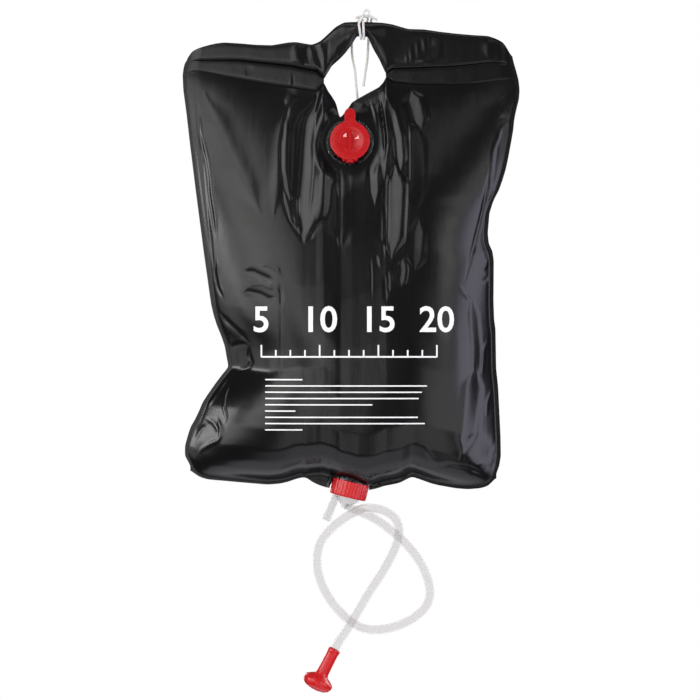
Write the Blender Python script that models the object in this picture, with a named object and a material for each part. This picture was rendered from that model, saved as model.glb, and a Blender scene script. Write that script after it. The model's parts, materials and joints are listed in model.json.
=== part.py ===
"""A hanging camp shower: a welded film bag with a filler, an outlet, a hose and a shower head.

Metres, +Z up, front towards -Y, +X to the right. The origin is the top of the cord loop that the bag
hangs from. Every round piece is turned about the local Z axis of the empty that it is parented to.
"""
import math

import bmesh
import bpy
import numpy as np
from mathutils import Matrix, Vector

# Film bag
BAG_WIDTH = 0.402
BAG_HEIGHT = 0.559
BAG_TOP_Z = -0.0156
FRONT_DEPTH = 0.053
BACK_DEPTH = 0.046
SLEEVE_DEPTH = 0.0065
BAND_DEPTH = 0.0025
FILM = 0.0010
WELD_GAP = 0.0003
WELD_BORDER = 0.005

# Hanging cord
CORD_DIAMETER = 0.003
CORD_CLEARANCE = 0.0004
WINDING_TURNS = 2
WINDING_CENTRE_X = -0.0048
WINDING_TOP_STEP = 0.006
WINDING_BOTTOM_STEP = 0.0036
WINDING_START_TURN_SHARE = 1 / 6
KNOT_WIDTH = 0.012
KNOT_DEPTH = 0.008
KNOT_HEIGHT = 0.0042
KNOT_X = -0.0012
LOOP_WIDTH = 0.0092

# Fits
GAP = 0.0003
FIT = 0.0004
OVERRUN = 0.004

# Filler
FILLER_TILT = math.radians(10)
SEAT_DEPTH = 0.017
SEAT_MARGIN = 0.014
SEAT_BLEND = 0.018
FLANGE_RADIUS = 0.0285
FLANGE_THICKNESS = 0.0014
FILLER_BORE = 0.0186
FILLER_WALL = 0.0019
FILLER_NECK = 0.0063
FILLER_TAIL = 0.0040
RING_WALL = 0.0022
RING_HEIGHT = 0.0020
CAP_RADIUS = 0.0238
CAP_THICKNESS = 0.0024
CAP_EDGE = 0.0006
CAP_POCKET_RADIUS = 0.0145
PLUG_DEPTH = 0.0068
PLUG_FLOOR = 0.0014
PLUG_TAPER = 0.0014
RIB_WIDTH = 0.0040
TAB_WIDTH = 0.0130
TAB_REACH = 0.0155
TAB_THICKNESS = 0.0022
STRAP_WIDTH = 0.0120
STRAP_THICKNESS = 0.0014
STRAP_REACH = 0.0030
HINGE_GAP = 0.0006

# Outlet
OUTLET_TILT = math.radians(14)
SPOUT_BORE = 0.0140
SPOUT_WALL = 0.0036
SPOUT_INSIDE = 0.0140
SPOUT_OUTSIDE = 0.0200
SPOUT_SLACK = 0.0012
WELD_RING_WALL = 0.0014
WELD_RING_PLACE = 0.0058
WELD_RING_THICKNESS = 0.0016
COLLAR_PLACE = 0.0080
COLLAR_WALL = 0.0036
COLLAR_LIP = 0.0024
RIB_COUNT = 28
RIB_DEPTH = 0.0007
NUT_TRAVEL = 0.0060
GASKET_THICKNESS = 0.0015
NOZZLE_FLANGE = 0.0026
NOZZLE_WALL = 0.0018
SKIRT_INSET = 0.0022
CONE_LENGTH = 0.0145
ELBOW_RADIUS = 0.0056
SPIGOT_RADIUS = 0.0042
SPIGOT_BORE = 0.0026
SPIGOT_LENGTH = 0.0092
SPIGOT_TILT = math.radians(22)
STUB_RADIUS = 0.0050
STUB_BORE = 0.0034
STUB_LENGTH = 0.0330
STUB_TILT = math.radians(9)
STUB_INSET = 0.0022

# Hose
HOSE_DIAMETER = 0.0108
HOSE_STEP = 0.0150
HOSE_INSERT = 0.0100

# Shower head
HEAD_NECK_RADIUS = 0.0074
HEAD_NECK_LENGTH = 0.0350
BELL_RADIUS = 0.0184
BELL_LENGTH = 0.0140
BELL_WALL = 0.0018
SEAT_LENGTH = 0.0042
SEAT_RADIUS = 0.0049
STEM_FLANGE = 0.0020
STEM_BORE = 0.0022
PORT_RADIUS = 0.0015
RING_THICKNESS = 0.0017
PLATE_THICKNESS = 0.0018
PLATE_SEAT = 0.0034
FACE_RISE = 0.0080
SPRAY_HOLE_RADIUS = 0.0009
SPRAY_RING_COUNTS = (1, 6, 12)
SPRAY_RING_SHARE = 0.34

# Counts and angles of the turned pieces
SIDES = 28
SMALL_SIDES = 18
BORE_SIDES = 14
HOLE_SIDES = 6
SHARP_ANGLE = math.radians(32)

# The bag's outline: places across are shares of its width from its middle, places down are shares of
# its height from its highest point.
TOP_EDGE_SHARES = (
    (-0.500, 0.090), (-0.476, 0.063), (-0.452, 0.055), (-0.428, 0.050), (-0.404, 0.046), (-0.380, 0.044),
    (-0.333, 0.046), (-0.285, 0.049), (-0.237, 0.050), (-0.213, 0.047), (-0.189, 0.044), (-0.166, 0.043),
    (-0.142, 0.046), (-0.118, 0.049), (-0.094, 0.042), (-0.070, 0.026), (-0.046, 0.010), (-0.022, 0.001),
    (0.002, 0.000), (0.049, 0.000), (0.075, 0.001), (0.097, 0.002), (0.121, 0.005), (0.145, 0.010),
    (0.169, 0.015), (0.217, 0.016), (0.264, 0.021), (0.312, 0.025), (0.360, 0.028), (0.408, 0.030),
    (0.432, 0.036), (0.455, 0.045), (0.480, 0.076))
UPPER_WELD_SHARES = (
    (-0.500, 0.086), (-0.452, 0.082), (-0.336, 0.082), (-0.184, 0.094), (-0.105, 0.105), (-0.082, 0.123),
    (-0.058, 0.094), (-0.034, 0.079), (-0.016, 0.065), (0.001, 0.049), (0.016, 0.031), (0.046, 0.031),
    (0.064, 0.057), (0.082, 0.080), (0.103, 0.112), (0.125, 0.101), (0.234, 0.098), (0.315, 0.095),
    (0.419, 0.086), (0.491, 0.090))
LOWER_WELD_SHARES = (
    (-0.500, 0.106), (-0.452, 0.106), (-0.372, 0.118), (-0.288, 0.129), (-0.199, 0.139), (-0.105, 0.149),
    (-0.082, 0.130), (-0.070, 0.148), (-0.058, 0.160), (-0.046, 0.174), (-0.034, 0.206), (-0.016, 0.190),
    (0.001, 0.173), (0.016, 0.166), (0.046, 0.154), (0.064, 0.147), (0.082, 0.140), (0.096, 0.129),
    (0.103, 0.118), (0.125, 0.129), (0.193, 0.134), (0.294, 0.134), (0.369, 0.131), (0.443, 0.124),
    (0.497, 0.120))
BOTTOM_EDGE_SHARES = (
    (-0.480, 0.962), (-0.473, 0.967), (-0.452, 0.977), (-0.428, 0.982), (-0.380, 0.985), (-0.333, 0.988),
    (-0.285, 0.991), (-0.249, 0.993), (-0.213, 0.991), (-0.189, 0.987), (-0.166, 0.981), (-0.142, 0.977),
    (-0.130, 0.980), (-0.118, 0.987), (-0.094, 0.995), (-0.070, 1.000), (-0.004, 1.003), (0.049, 1.005),
    (0.073, 1.002), (0.097, 0.996), (0.121, 0.993), (0.145, 0.989), (0.169, 0.980), (0.181, 0.976),
    (0.193, 0.979), (0.217, 0.985), (0.240, 0.991), (0.264, 0.995), (0.312, 1.001), (0.348, 1.003),
    (0.384, 1.001), (0.408, 0.996), (0.432, 0.978))
LEFT_EDGE_SHARES = (
    (0.077, -0.489), (0.094, -0.500), (0.114, -0.504), (0.146, -0.502), (0.200, -0.492), (0.264, -0.482),
    (0.361, -0.465), (0.489, -0.441), (0.597, -0.419), (0.618, -0.412), (0.640, -0.402), (0.661, -0.389),
    (0.683, -0.378), (0.704, -0.373), (0.726, -0.367), (0.747, -0.389), (0.769, -0.410), (0.790, -0.429),
    (0.811, -0.445), (0.833, -0.456), (0.854, -0.467), (0.876, -0.480), (0.897, -0.489), (0.919, -0.497),
    (0.940, -0.497), (0.962, -0.480))
RIGHT_EDGE_SHARES = (
    (0.077, 0.480), (0.103, 0.491), (0.125, 0.499), (0.146, 0.502), (0.167, 0.500), (0.189, 0.492),
    (0.210, 0.486), (0.232, 0.483), (0.253, 0.478), (0.296, 0.467), (0.318, 0.460), (0.339, 0.451),
    (0.361, 0.440), (0.382, 0.423), (0.404, 0.412), (0.446, 0.407), (0.468, 0.410), (0.489, 0.421),
    (0.511, 0.425), (0.597, 0.424), (0.640, 0.426), (0.661, 0.430), (0.747, 0.432), (0.790, 0.438),
    (0.897, 0.445), (0.940, 0.446), (0.962, 0.441), (0.978, 0.432))

# How high the flat hem under the chamber is: across, and a share of the weld border's width
HEM_SHARES = (
    (-0.150, 1.0), (-0.136, 0.7), (-0.115, 2.2), (-0.091, 3.2), (-0.062, 3.2), (-0.028, 2.2), (0.020, 1.0))

# The grid of each sheet: columns across, then the rows of the sleeve, the band and the chamber
COLUMN_SHARES = (
    -0.445, -0.395, -0.340, -0.285, -0.235, -0.190, -0.145, -0.120, -0.100, -0.082, -0.070, -0.058, -0.046,
    -0.034, -0.016, 0.001, 0.016, 0.031, 0.046, 0.064, 0.082, 0.103, 0.125, 0.150, 0.180, 0.215, 0.260,
    0.310, 0.365, 0.415, 0.455)
HOLE_LEFT_SHARE = -0.082
HOLE_RIGHT_SHARE = 0.103
SLEEVE_ROW_SHARES = (0.0, 0.2, 0.5, 0.8)
BAND_ROW_SHARES = (0.0, 0.5)
CHAMBER_ROW_SHARES = (
    0.0, 0.022, 0.048, 0.080, 0.120, 0.170, 0.235, 0.305, 0.38, 0.46, 0.54, 0.61, 0.67, 0.7254, 0.77, 0.83,
    0.89, 0.94, 0.972)

# How far the chamber swells: down from the lower weld to the bottom border, as shares of its full depth
SWELL_SHARES = (
    (0.0, 0.0), (0.022, 0.075), (0.064, 0.19), (0.127, 0.335), (0.23, 0.53), (0.37, 0.72), (0.51, 0.85),
    (0.645, 0.94), (0.78, 1.0), (0.867, 0.98), (0.92, 0.88), (0.955, 0.70), (0.975, 0.52), (0.988, 0.32),
    (1.0, 0.0))
SWELL_SIDE_POWER = 3.2

# Folds in the swollen film: across and down at each end, half width as a share of the bag's width,
# depth as a share of the sheet's full depth
FRONT_FOLD_SHARES = (
    (-0.118, 0.165, -0.155, 0.460, 0.022, 0.13),
    (0.093, 0.150, 0.108, 0.520, 0.016, 0.11),
    (0.145, 0.150, 0.150, 0.360, 0.018, 0.08),
    (-0.300, 0.560, -0.200, 0.590, 0.028, 0.07),
    (0.345, 0.560, 0.300, 0.600, 0.026, 0.07))
BACK_FOLD_SHARES = (
    (-0.110, 0.160, -0.140, 0.430, 0.024, 0.12),
    (0.120, 0.150, 0.140, 0.480, 0.022, 0.12))
# The waist at the left, where the rim is drawn in: across, down, reach across, reach down, depth
WAIST_SHARES = (-0.380, 0.732, 0.085, 0.050, 0.50)

GRIP_ACROSS_SHARE = 0.033
GRIP_TOP_SHARE = 0.000
GRIP_BOTTOM_SHARE = 0.031
FILLER_ACROSS_SHARE = -0.0045
FILLER_DOWN_SHARE = 0.260
OUTLET_ACROSS_SHARE = 0.0045
OUTLET_DOWN_SHARE = 0.972

# The outside of the nozzle below the nut: radius as a share of the skirt's, and the way along the cone
CONE_OUTLINE_SHARES = ((1.0, 0.0), (0.97, 0.13), (0.92, 0.24), (0.48, 0.56), (0.36, 0.72))
# The elbow's rounded end: radius as a share of its own, and the way along the cone
ELBOW_OUTLINE_SHARES = ((1.0, 0.74), (0.92, 0.86), (0.62, 0.96), (0.0, 1.0))
ELBOW_PLACE_SHARE = 0.76

# The outside of the shower head: radius as a share of the neck's or the bell's, and the way along
NECK_OUTLINE_SHARES = ((0.90, 0.0), (1.0, 0.03), (1.02, 0.09), (0.96, 0.17), (0.95, 0.60), (0.97, 0.90))
BELL_OUTLINE_SHARES = ((0.46, 0.0), (0.70, 0.13), (0.90, 0.34), (1.0, 0.62), (1.0, 0.88), (0.98, 1.0))

# The hose's route, from the mouth of the nozzle's spigot to the neck of the head, in metres
HOSE_ROUTE = (
    (0.0000, 0.000, 0.0000), (0.0096, 0.000, -0.0038), (0.0216, -0.002, -0.0090), (0.0336, -0.005, -0.0158),
    (0.0456, -0.008, -0.0248), (0.0576, -0.009, -0.0350), (0.0708, -0.009, -0.0488), (0.0828, -0.008, -0.0662),
    (0.0906, -0.006, -0.0848), (0.0930, -0.004, -0.1016), (0.0876, -0.002, -0.1178), (0.0732, 0.000, -0.1310),
    (0.0540, 0.002, -0.1406), (0.0336, 0.004, -0.1452), (0.0144, 0.006, -0.1440), (-0.0024, 0.007, -0.1352),
    (-0.0192, 0.005, -0.1190), (-0.0324, 0.002, -0.0992), (-0.0402, -0.002, -0.0788), (-0.0422, -0.006, -0.0584),
    (-0.0384, -0.010, -0.0404), (-0.0288, -0.014, -0.0266), (-0.0162, -0.017, -0.0152), (-0.0024, -0.019, -0.0056),
    (0.0108, -0.020, 0.0004), (0.0252, -0.019, 0.0016), (0.0396, -0.015, -0.0024), (0.0510, -0.008, -0.0110),
    (0.0560, 0.000, -0.0236), (0.0546, 0.006, -0.0380), (0.0486, 0.008, -0.0536), (0.0372, 0.006, -0.0746),
    (0.0216, 0.001, -0.0980), (0.0060, -0.006, -0.1238), (-0.0072, -0.009, -0.1454), (-0.0164, -0.009, -0.1588),
    (-0.0210, -0.009, -0.1676), (-0.0256, -0.009, -0.1765))

# The cord's tails, from the middle of the knot, in metres
LEFT_TAIL_ROUTE = (
    (-0.0033, 0.0038, 0.0000), (-0.0043, 0.0078, -0.0004), (-0.0083, 0.0125, -0.0040), (-0.0133, 0.0140, -0.0150),
    (-0.0160, 0.0135, -0.0290), (-0.0162, 0.0130, -0.0402), (-0.0150, 0.0120, -0.0522), (-0.0126, 0.0110, -0.0642),
    (-0.0114, 0.0105, -0.0786), (-0.0102, 0.0105, -0.0906), (-0.0096, 0.0105, -0.1014))
RIGHT_TAIL_ROUTE = (
    (0.0056, 0.0028, 0.0000), (0.0076, 0.0068, -0.0006), (0.0068, 0.0125, -0.0050), (0.0046, 0.0140, -0.0170),
    (0.0034, 0.0135, -0.0310), (0.0030, 0.0130, -0.0402), (0.0018, 0.0120, -0.0546), (-0.0006, 0.0110, -0.0702),
    (-0.0024, 0.0105, -0.0834))
# The ways from the knot's faces to the winding, from the middle of the knot, in metres
WINDING_LEAD_IN = ((-0.0032, -0.0046, 0.0000), (-0.0034, -0.0070, -0.0003), (-0.0052, -0.0088, -0.0034))
WINDING_LEAD_OUT = ((0.0026, 0.0089, -0.0038), (0.0022, 0.0072, -0.0003), (0.0022, 0.0046, 0.0000))
# The knot's two short ends, from the middle of the knot, in metres
SHORT_ENDS_ROUTE = ((-0.0120, 0.0012, -0.0020), (-0.0060, 0.0008, -0.0004), (0.0, 0.0, 0.0),
                    (0.0060, -0.0012, -0.0006), (0.0145, -0.0015, -0.0046))

BLACK_FILM = (0.018, 0.018, 0.020)
CLEAR_PLASTIC = (0.82, 0.84, 0.85)
RED_PLASTIC = (0.72, 0.012, 0.020)
WHITE_CORD = (0.80, 0.80, 0.78)
GREY_RUBBER = (0.10, 0.10, 0.11)


def clear_scene():
    """Take every object out of the open file."""
    for thing in list(bpy.data.objects):
        bpy.data.objects.remove(thing, do_unlink=True)


def make_material(name, colour, roughness, alpha=1.0):
    """A Principled material of one colour."""
    material = bpy.data.materials.new(name)
    material.use_nodes = True
    shader = material.node_tree.nodes["Principled BSDF"]
    shader.inputs["Base Color"].default_value = (*colour, 1.0)
    shader.inputs["Roughness"].default_value = roughness
    shader.inputs["Metallic"].default_value = 0.0
    shader.inputs["Alpha"].default_value = alpha
    return material


def add_object(name, data, material=None, parent=None):
    """Link an object made of some data, under an empty if one is given."""
    thing = bpy.data.objects.new(name, data)
    bpy.context.scene.collection.objects.link(thing)
    thing.parent = parent
    if material is not None:
        data.materials.append(material)
    return thing


def add_mesh(name, bm, material=None, parent=None):
    """Turn a bmesh into an object with smooth round faces and sharp edges."""
    mesh = bpy.data.meshes.new(name)
    bm.to_mesh(mesh)
    bm.free()
    mesh.shade_smooth()
    mesh.set_sharp_from_angle(angle=SHARP_ANGLE)
    return add_object(name, mesh, material, parent)


def add_frame(name, place, across, outward):
    """An empty whose local X runs across and whose local Z runs outward."""
    frame = add_object(name, None)
    x_axis = Vector(across).normalized()
    z_axis = Vector(outward).normalized()
    y_axis = z_axis.cross(x_axis)
    turn = Matrix((x_axis, y_axis, z_axis)).transposed()
    frame.matrix_world = Matrix.Translation(place) @ turn.to_4x4()
    return frame


def make_cutter(thing):
    """Mark an object as a cutter, which is not a piece."""
    thing.hide_render = True
    thing.display_type = "WIRE"
    return thing


def combine(target, tool, operation):
    """Join a tool to an object, or cut it out."""
    modifier = target.modifiers.new(operation.lower(), "BOOLEAN")
    modifier.operation = operation
    modifier.solver = "EXACT"
    modifier.object = make_cutter(tool)


def turned(profile, sides=SIDES, ribbed=(), rib_depth=0.0):
    """A closed turned body: the profile's (radius, along) points, carried round the Z axis.

    A profile that starts and ends on the axis is solid, and any other is a ring. The points whose
    numbers are in ribbed stand rib_depth further out on every other side.
    """
    bm = bmesh.new()
    rings = []
    for number, (radius, along) in enumerate(profile):
        if radius == 0:
            rings.append([bm.verts.new((0, 0, along))])
            continue
        ring = []
        for side in range(sides):
            angle = math.tau * side / sides
            reach = radius + (rib_depth if number in ribbed and side % 2 else 0)
            ring.append(bm.verts.new((reach * math.cos(angle), reach * math.sin(angle), along)))
        rings.append(ring)
    for first, second in zip(rings, rings[1:] + rings[:1]):
        if len(first) == 1 and len(second) == 1:
            continue
        for side in range(sides):
            follower = (side + 1) % sides
            corners = [first[side % len(first)], first[follower % len(first)],
                       second[follower % len(second)], second[side % len(second)]]
            bm.faces.new(list(dict.fromkeys(corners)))
    bmesh.ops.recalc_face_normals(bm, faces=bm.faces)
    return bm


def rod(radius, start, end, sides=SIDES):
    """A plain round bar along the Z axis."""
    return turned(((0, start), (radius, start), (radius, end), (0, end)), sides)


def block(low, high):
    """A plain box between two corners."""
    bm = bmesh.new()
    bmesh.ops.create_cube(bm, size=1)
    for vert in bm.verts:
        share = vert.co + Vector((0.5, 0.5, 0.5))
        vert.co = Vector(l + (h - l) * s for l, h, s in zip(low, high, share))
    return bm


def smooth_route(points, step):
    """Points a step apart on a Catmull-Rom curve through a route's own points."""
    route = np.array(points)
    padded = np.vstack((2 * route[0] - route[1], route, 2 * route[-1] - route[-2]))
    fine = np.linspace(0, 1, 24, endpoint=False)[:, None]
    runs = []
    for before, start, end, after in zip(padded, padded[1:], padded[2:], padded[3:]):
        runs.append(0.5 * (2 * start + (end - before) * fine
                           + (2 * before - 5 * start + 4 * end - after) * fine ** 2
                           + (3 * start - before - 3 * end + after) * fine ** 3))
    curve = np.vstack(runs + [route[-1:]])
    travelled = np.concatenate(([0], np.cumsum(np.linalg.norm(np.diff(curve, axis=0), axis=1))))
    stations = np.linspace(0, travelled[-1], max(2, round(travelled[-1] / step)) + 1)
    return np.column_stack([np.interp(stations, travelled, curve[:, axis]) for axis in range(3)])


def route_length(points):
    """The length of a run of points."""
    return float(np.linalg.norm(np.diff(points, axis=0), axis=1).sum())


def tube(name, points, diameter, material, resolution=2):
    """A round tube with filled caps along a run of points."""
    curve = bpy.data.curves.new(name, "CURVE")
    curve.dimensions = "3D"
    curve.bevel_depth = diameter / 2
    curve.bevel_resolution = resolution
    curve.use_fill_caps = True
    spline = curve.splines.new("POLY")
    spline.points.add(len(points) - 1)
    for target, point in zip(spline.points, points):
        target.co = (*point, 1)
    return add_object(name, curve, material)


def table(shares, position):
    """Read a table of (position, value) shares."""
    places, values = np.array(shares).T
    return np.interp(position, places, values)


def bag_x(share):
    """The place across of a share, with the grip kept under the winding."""
    return WINDING_CENTRE_X + (share - GRIP_ACROSS_SHARE) * BAG_WIDTH


def bag_z(share):
    """The height of a share down the bag."""
    return BAG_TOP_Z - share * BAG_HEIGHT


def sheet_grid():
    """The (across, down) shares of a sheet's points, with each row's zone and place in that zone."""
    zones = [("sleeve", share) for share in SLEEVE_ROW_SHARES]
    zones += [("band", share) for share in BAND_ROW_SHARES]
    zones += [("chamber", share) for share in CHAMBER_ROW_SHARES]
    zones += [("border", 0.0), ("edge", 0.0)]
    weld_down = WELD_BORDER / BAG_HEIGHT
    weld_across = WELD_BORDER / BAG_WIDTH
    left_stations = [LEFT_EDGE_SHARES[0][0], UPPER_WELD_SHARES[0][1], LOWER_WELD_SHARES[0][1],
                     LEFT_EDGE_SHARES[-1][0]]
    right_stations = [RIGHT_EDGE_SHARES[0][0], UPPER_WELD_SHARES[-1][1], LOWER_WELD_SHARES[-1][1],
                      RIGHT_EDGE_SHARES[-1][0]]
    across_rows, down_rows = [], []
    for zone, place in zones:
        number = {"sleeve": 0, "band": 1, "chamber": 2, "border": 2, "edge": 2}[zone]
        share = 1.0 if zone in ("border", "edge") else place
        left_down = left_stations[number] + (left_stations[number + 1] - left_stations[number]) * share
        right_down = right_stations[number] + (right_stations[number + 1] - right_stations[number]) * share
        left = table(LEFT_EDGE_SHARES, left_down)
        right = table(RIGHT_EDGE_SHARES, right_down)
        columns = np.array(COLUMN_SHARES)
        draw_in = np.where(columns < 0, left + 0.5, right - 0.5)
        inner = columns + draw_in * (2 * columns) ** 2
        across = np.concatenate(([left, left + weld_across], inner, [right - weld_across, right]))
        top = table(TOP_EDGE_SHARES, across)
        upper = table(UPPER_WELD_SHARES, across)
        lower = table(LOWER_WELD_SHARES, across)
        bottom = table(BOTTOM_EDGE_SHARES, across)
        hem = weld_down * table(HEM_SHARES, across)
        if zone == "sleeve":
            down = top + (upper - top) * place
        elif zone == "band":
            down = upper + (lower - upper) * place
        elif zone == "chamber":
            down = lower + (bottom - hem - lower) * place
        else:
            down = bottom - (hem if zone == "border" else 0)
        across_rows.append(across)
        down_rows.append(down)
    return zones, np.array(across_rows), np.array(down_rows)


def fold_depth(across, down, fold):
    """How deep a fold is: a soft groove along the line between its two ends."""
    x0, z0, x1, z1, width, depth = fold
    start = np.array((x0 * BAG_WIDTH, z0 * BAG_HEIGHT))
    run = np.array((x1 * BAG_WIDTH, z1 * BAG_HEIGHT)) - start
    away_x = across * BAG_WIDTH - start[0]
    away_z = down * BAG_HEIGHT - start[1]
    along = np.clip((away_x * run[0] + away_z * run[1]) / (run @ run), 0, 1)
    distance = np.hypot(away_x - along * run[0], away_z - along * run[1])
    return depth * np.exp(-(distance / (width * BAG_WIDTH)) ** 2)


def sheet_depth(zones, across, down, full_depth, folds):
    """How far each point of a sheet stands out from the welded plane."""
    depth = np.zeros_like(across)
    left = across[:, 1:2]
    right = across[:, -2:-1]
    side = np.clip((across - left) / (right - left), 0, 1)
    swell_across = 1 - np.abs(2 * side - 1) ** SWELL_SIDE_POWER
    for row, (zone, place) in enumerate(zones):
        if zone == "sleeve":
            depth[row] = SLEEVE_DEPTH * math.sin(math.pi * place)
        elif zone == "band":
            depth[row] = BAND_DEPTH * math.sin(math.pi * place)
        elif zone == "chamber":
            depth[row] = full_depth * table(SWELL_SHARES, place) * swell_across[row]
            waist_x, waist_z, reach_x, reach_z, waist = WAIST_SHARES
            drawn = np.exp(-((across[row] - waist_x) / reach_x) ** 2 - ((down[row] - waist_z) / reach_z) ** 2)
            share = 1 - waist * drawn
            for fold in folds:
                share = share - fold_depth(across[row], down[row], fold)
            depth[row] *= np.clip(share, 0, 1)
    depth[:, :2] = 0
    depth[:, -2:] = 0
    return depth


def filler_seat(x, z, depth, zones):
    """Press the film flat where the filler's flange is welded on."""
    away_x = x - bag_x(FILLER_ACROSS_SHARE)
    away_z = z - bag_z(FILLER_DOWN_SHARE)
    plane = SEAT_DEPTH - away_z * math.tan(FILLER_TILT)
    distance = np.hypot(away_x, away_z)
    flat = FLANGE_RADIUS + SEAT_MARGIN
    blend = np.clip((flat + SEAT_BLEND - distance) / SEAT_BLEND, 0, 1)
    blend = blend * blend * (3 - 2 * blend)
    swollen = np.array([zone == "chamber" and place > 0 for zone, place in zones])[:, None]
    return np.where(swollen, depth * (1 - blend) + plane * blend, depth)


def pass_round_spout(x, z, depth, zones):
    """Lead the film round the spout: along a circle about its axis, with flat flanks at 45 degrees."""
    place = outlet_place()
    way = (x - place.x) * math.cos(OUTLET_TILT) - (z - place.z) * math.sin(OUTLET_TILT)
    radius = SPOUT_BORE + SPOUT_WALL + SPOUT_SLACK
    circle = np.sqrt(np.clip(radius ** 2 - way ** 2, 0, None))
    flank = np.clip(radius * math.sqrt(2) - np.abs(way), 0, None)
    tent = np.where(np.abs(way) < radius / math.sqrt(2), circle, flank)
    along = -(x - place.x) * math.sin(OUTLET_TILT) - (z - place.z) * math.cos(OUTLET_TILT)
    below = np.array([zone in ("chamber", "border", "edge") for zone, place in zones])[:, None]
    return np.where(below & (along > -SPOUT_INSIDE - OVERRUN), np.maximum(depth, tent), depth)


def film_sheet(name, front, material):
    """One sheet of the bag: a grid of points, thickened outward, without faces in the hand hole."""
    zones, across, down = sheet_grid()
    full_depth = FRONT_DEPTH if front else BACK_DEPTH
    depth = sheet_depth(zones, across, down, full_depth, FRONT_FOLD_SHARES if front else BACK_FOLD_SHARES)
    x = bag_x(across)
    z = bag_z(down)
    if front:
        depth = filler_seat(x, z, depth, zones)
    depth = pass_round_spout(x, z, depth, zones)
    outward = -1 if front else 1
    y = outward * (depth + WELD_GAP / 2)
    columns = np.array((-0.5, -0.5, *COLUMN_SHARES, 0.5, 0.5))
    bm = bmesh.new()
    rows, count = x.shape
    points = [[bm.verts.new((x[r, c], y[r, c], z[r, c])) for c in range(count)] for r in range(rows)]
    first_band = len(SLEEVE_ROW_SHARES)
    last_band = first_band + len(BAND_ROW_SHARES)
    for r in range(rows - 1):
        for c in range(count - 1):
            in_hole = HOLE_LEFT_SHARE <= columns[c] < HOLE_RIGHT_SHARE
            if first_band <= r < last_band and in_hole:
                continue
            corners = [points[r][c], points[r + 1][c], points[r + 1][c + 1], points[r][c + 1]]
            bm.faces.new(corners if front else corners[::-1])
    bmesh.ops.delete(bm, geom=[vert for vert in bm.verts if not vert.link_faces], context="VERTS")
    bmesh.ops.triangulate(bm, faces=bm.faces)
    sheet = add_mesh(name, bm, material)
    wall = sheet.modifiers.new("film", "SOLIDIFY")
    wall.thickness = FILM
    wall.offset = 1
    wall.use_rim = True
    return sheet


def make_bag(film, outlet):
    """The two sheets, which end at the spout's weld ring and leave room for the nut. Gives the front one."""
    nut_room = SPOUT_BORE + SPOUT_WALL + FIT + COLLAR_WALL + RIB_DEPTH + FIT
    nut_end = nut_end_place() + NUT_TRAVEL + OVERRUN
    front_sheet = film_sheet("front_panel", True, film)
    back_sheet = film_sheet("back_panel", False, film)
    for sheet in (front_sheet, back_sheet):
        notch = add_mesh(sheet.name + "_notch", rod(nut_room, WELD_RING_PLACE - GAP, nut_end), parent=outlet)
        combine(sheet, notch, "DIFFERENCE")
    return front_sheet


def make_filler(frame, front_sheet, clear, red):
    """The welded flange with its neck, the ring round it, and the hinged push-in cap."""
    neck_radius = FILLER_BORE + FILLER_WALL
    flange_top = GAP + FLANGE_THICKNESS
    neck_top = flange_top + FILLER_NECK
    hole = add_mesh("filler_hole", rod(neck_radius + GAP, -FILM - 2 * OVERRUN, OVERRUN), parent=frame)
    combine(front_sheet, hole, "DIFFERENCE")

    profile = ((FILLER_BORE, -FILLER_TAIL), (neck_radius, -FILLER_TAIL), (neck_radius, GAP),
               (FLANGE_RADIUS, GAP), (FLANGE_RADIUS, flange_top), (neck_radius, flange_top),
               (neck_radius, neck_top), (FILLER_BORE, neck_top))
    add_mesh("filler_flange", turned(profile), clear, frame)

    ring_bore = neck_radius + GAP
    ring_radius = ring_bore + RING_WALL
    ring_low = flange_top + GAP
    ring_high = ring_low + RING_HEIGHT
    hinge_radius = CAP_RADIUS + STRAP_REACH
    profile = ((ring_bore, ring_low), (ring_radius, ring_low), (ring_radius, ring_high), (ring_bore, ring_high))
    ring = add_mesh("cap_ring", turned(profile), red, frame)
    lug = block((-STRAP_WIDTH / 2, -hinge_radius, ring_low),
                (STRAP_WIDTH / 2, -ring_radius + RING_WALL / 2, ring_low + STRAP_THICKNESS))
    combine(ring, add_mesh("ring_lug", lug, parent=frame), "UNION")

    hinge_height = ring_low + STRAP_THICKNESS + HINGE_GAP / 2
    hinge = add_object("cap_hinge", None, parent=frame)
    hinge.location = (0, -hinge_radius, hinge_height)
    make_cap(hinge, hinge_radius, hinge_height, neck_top + GAP, red)


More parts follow.
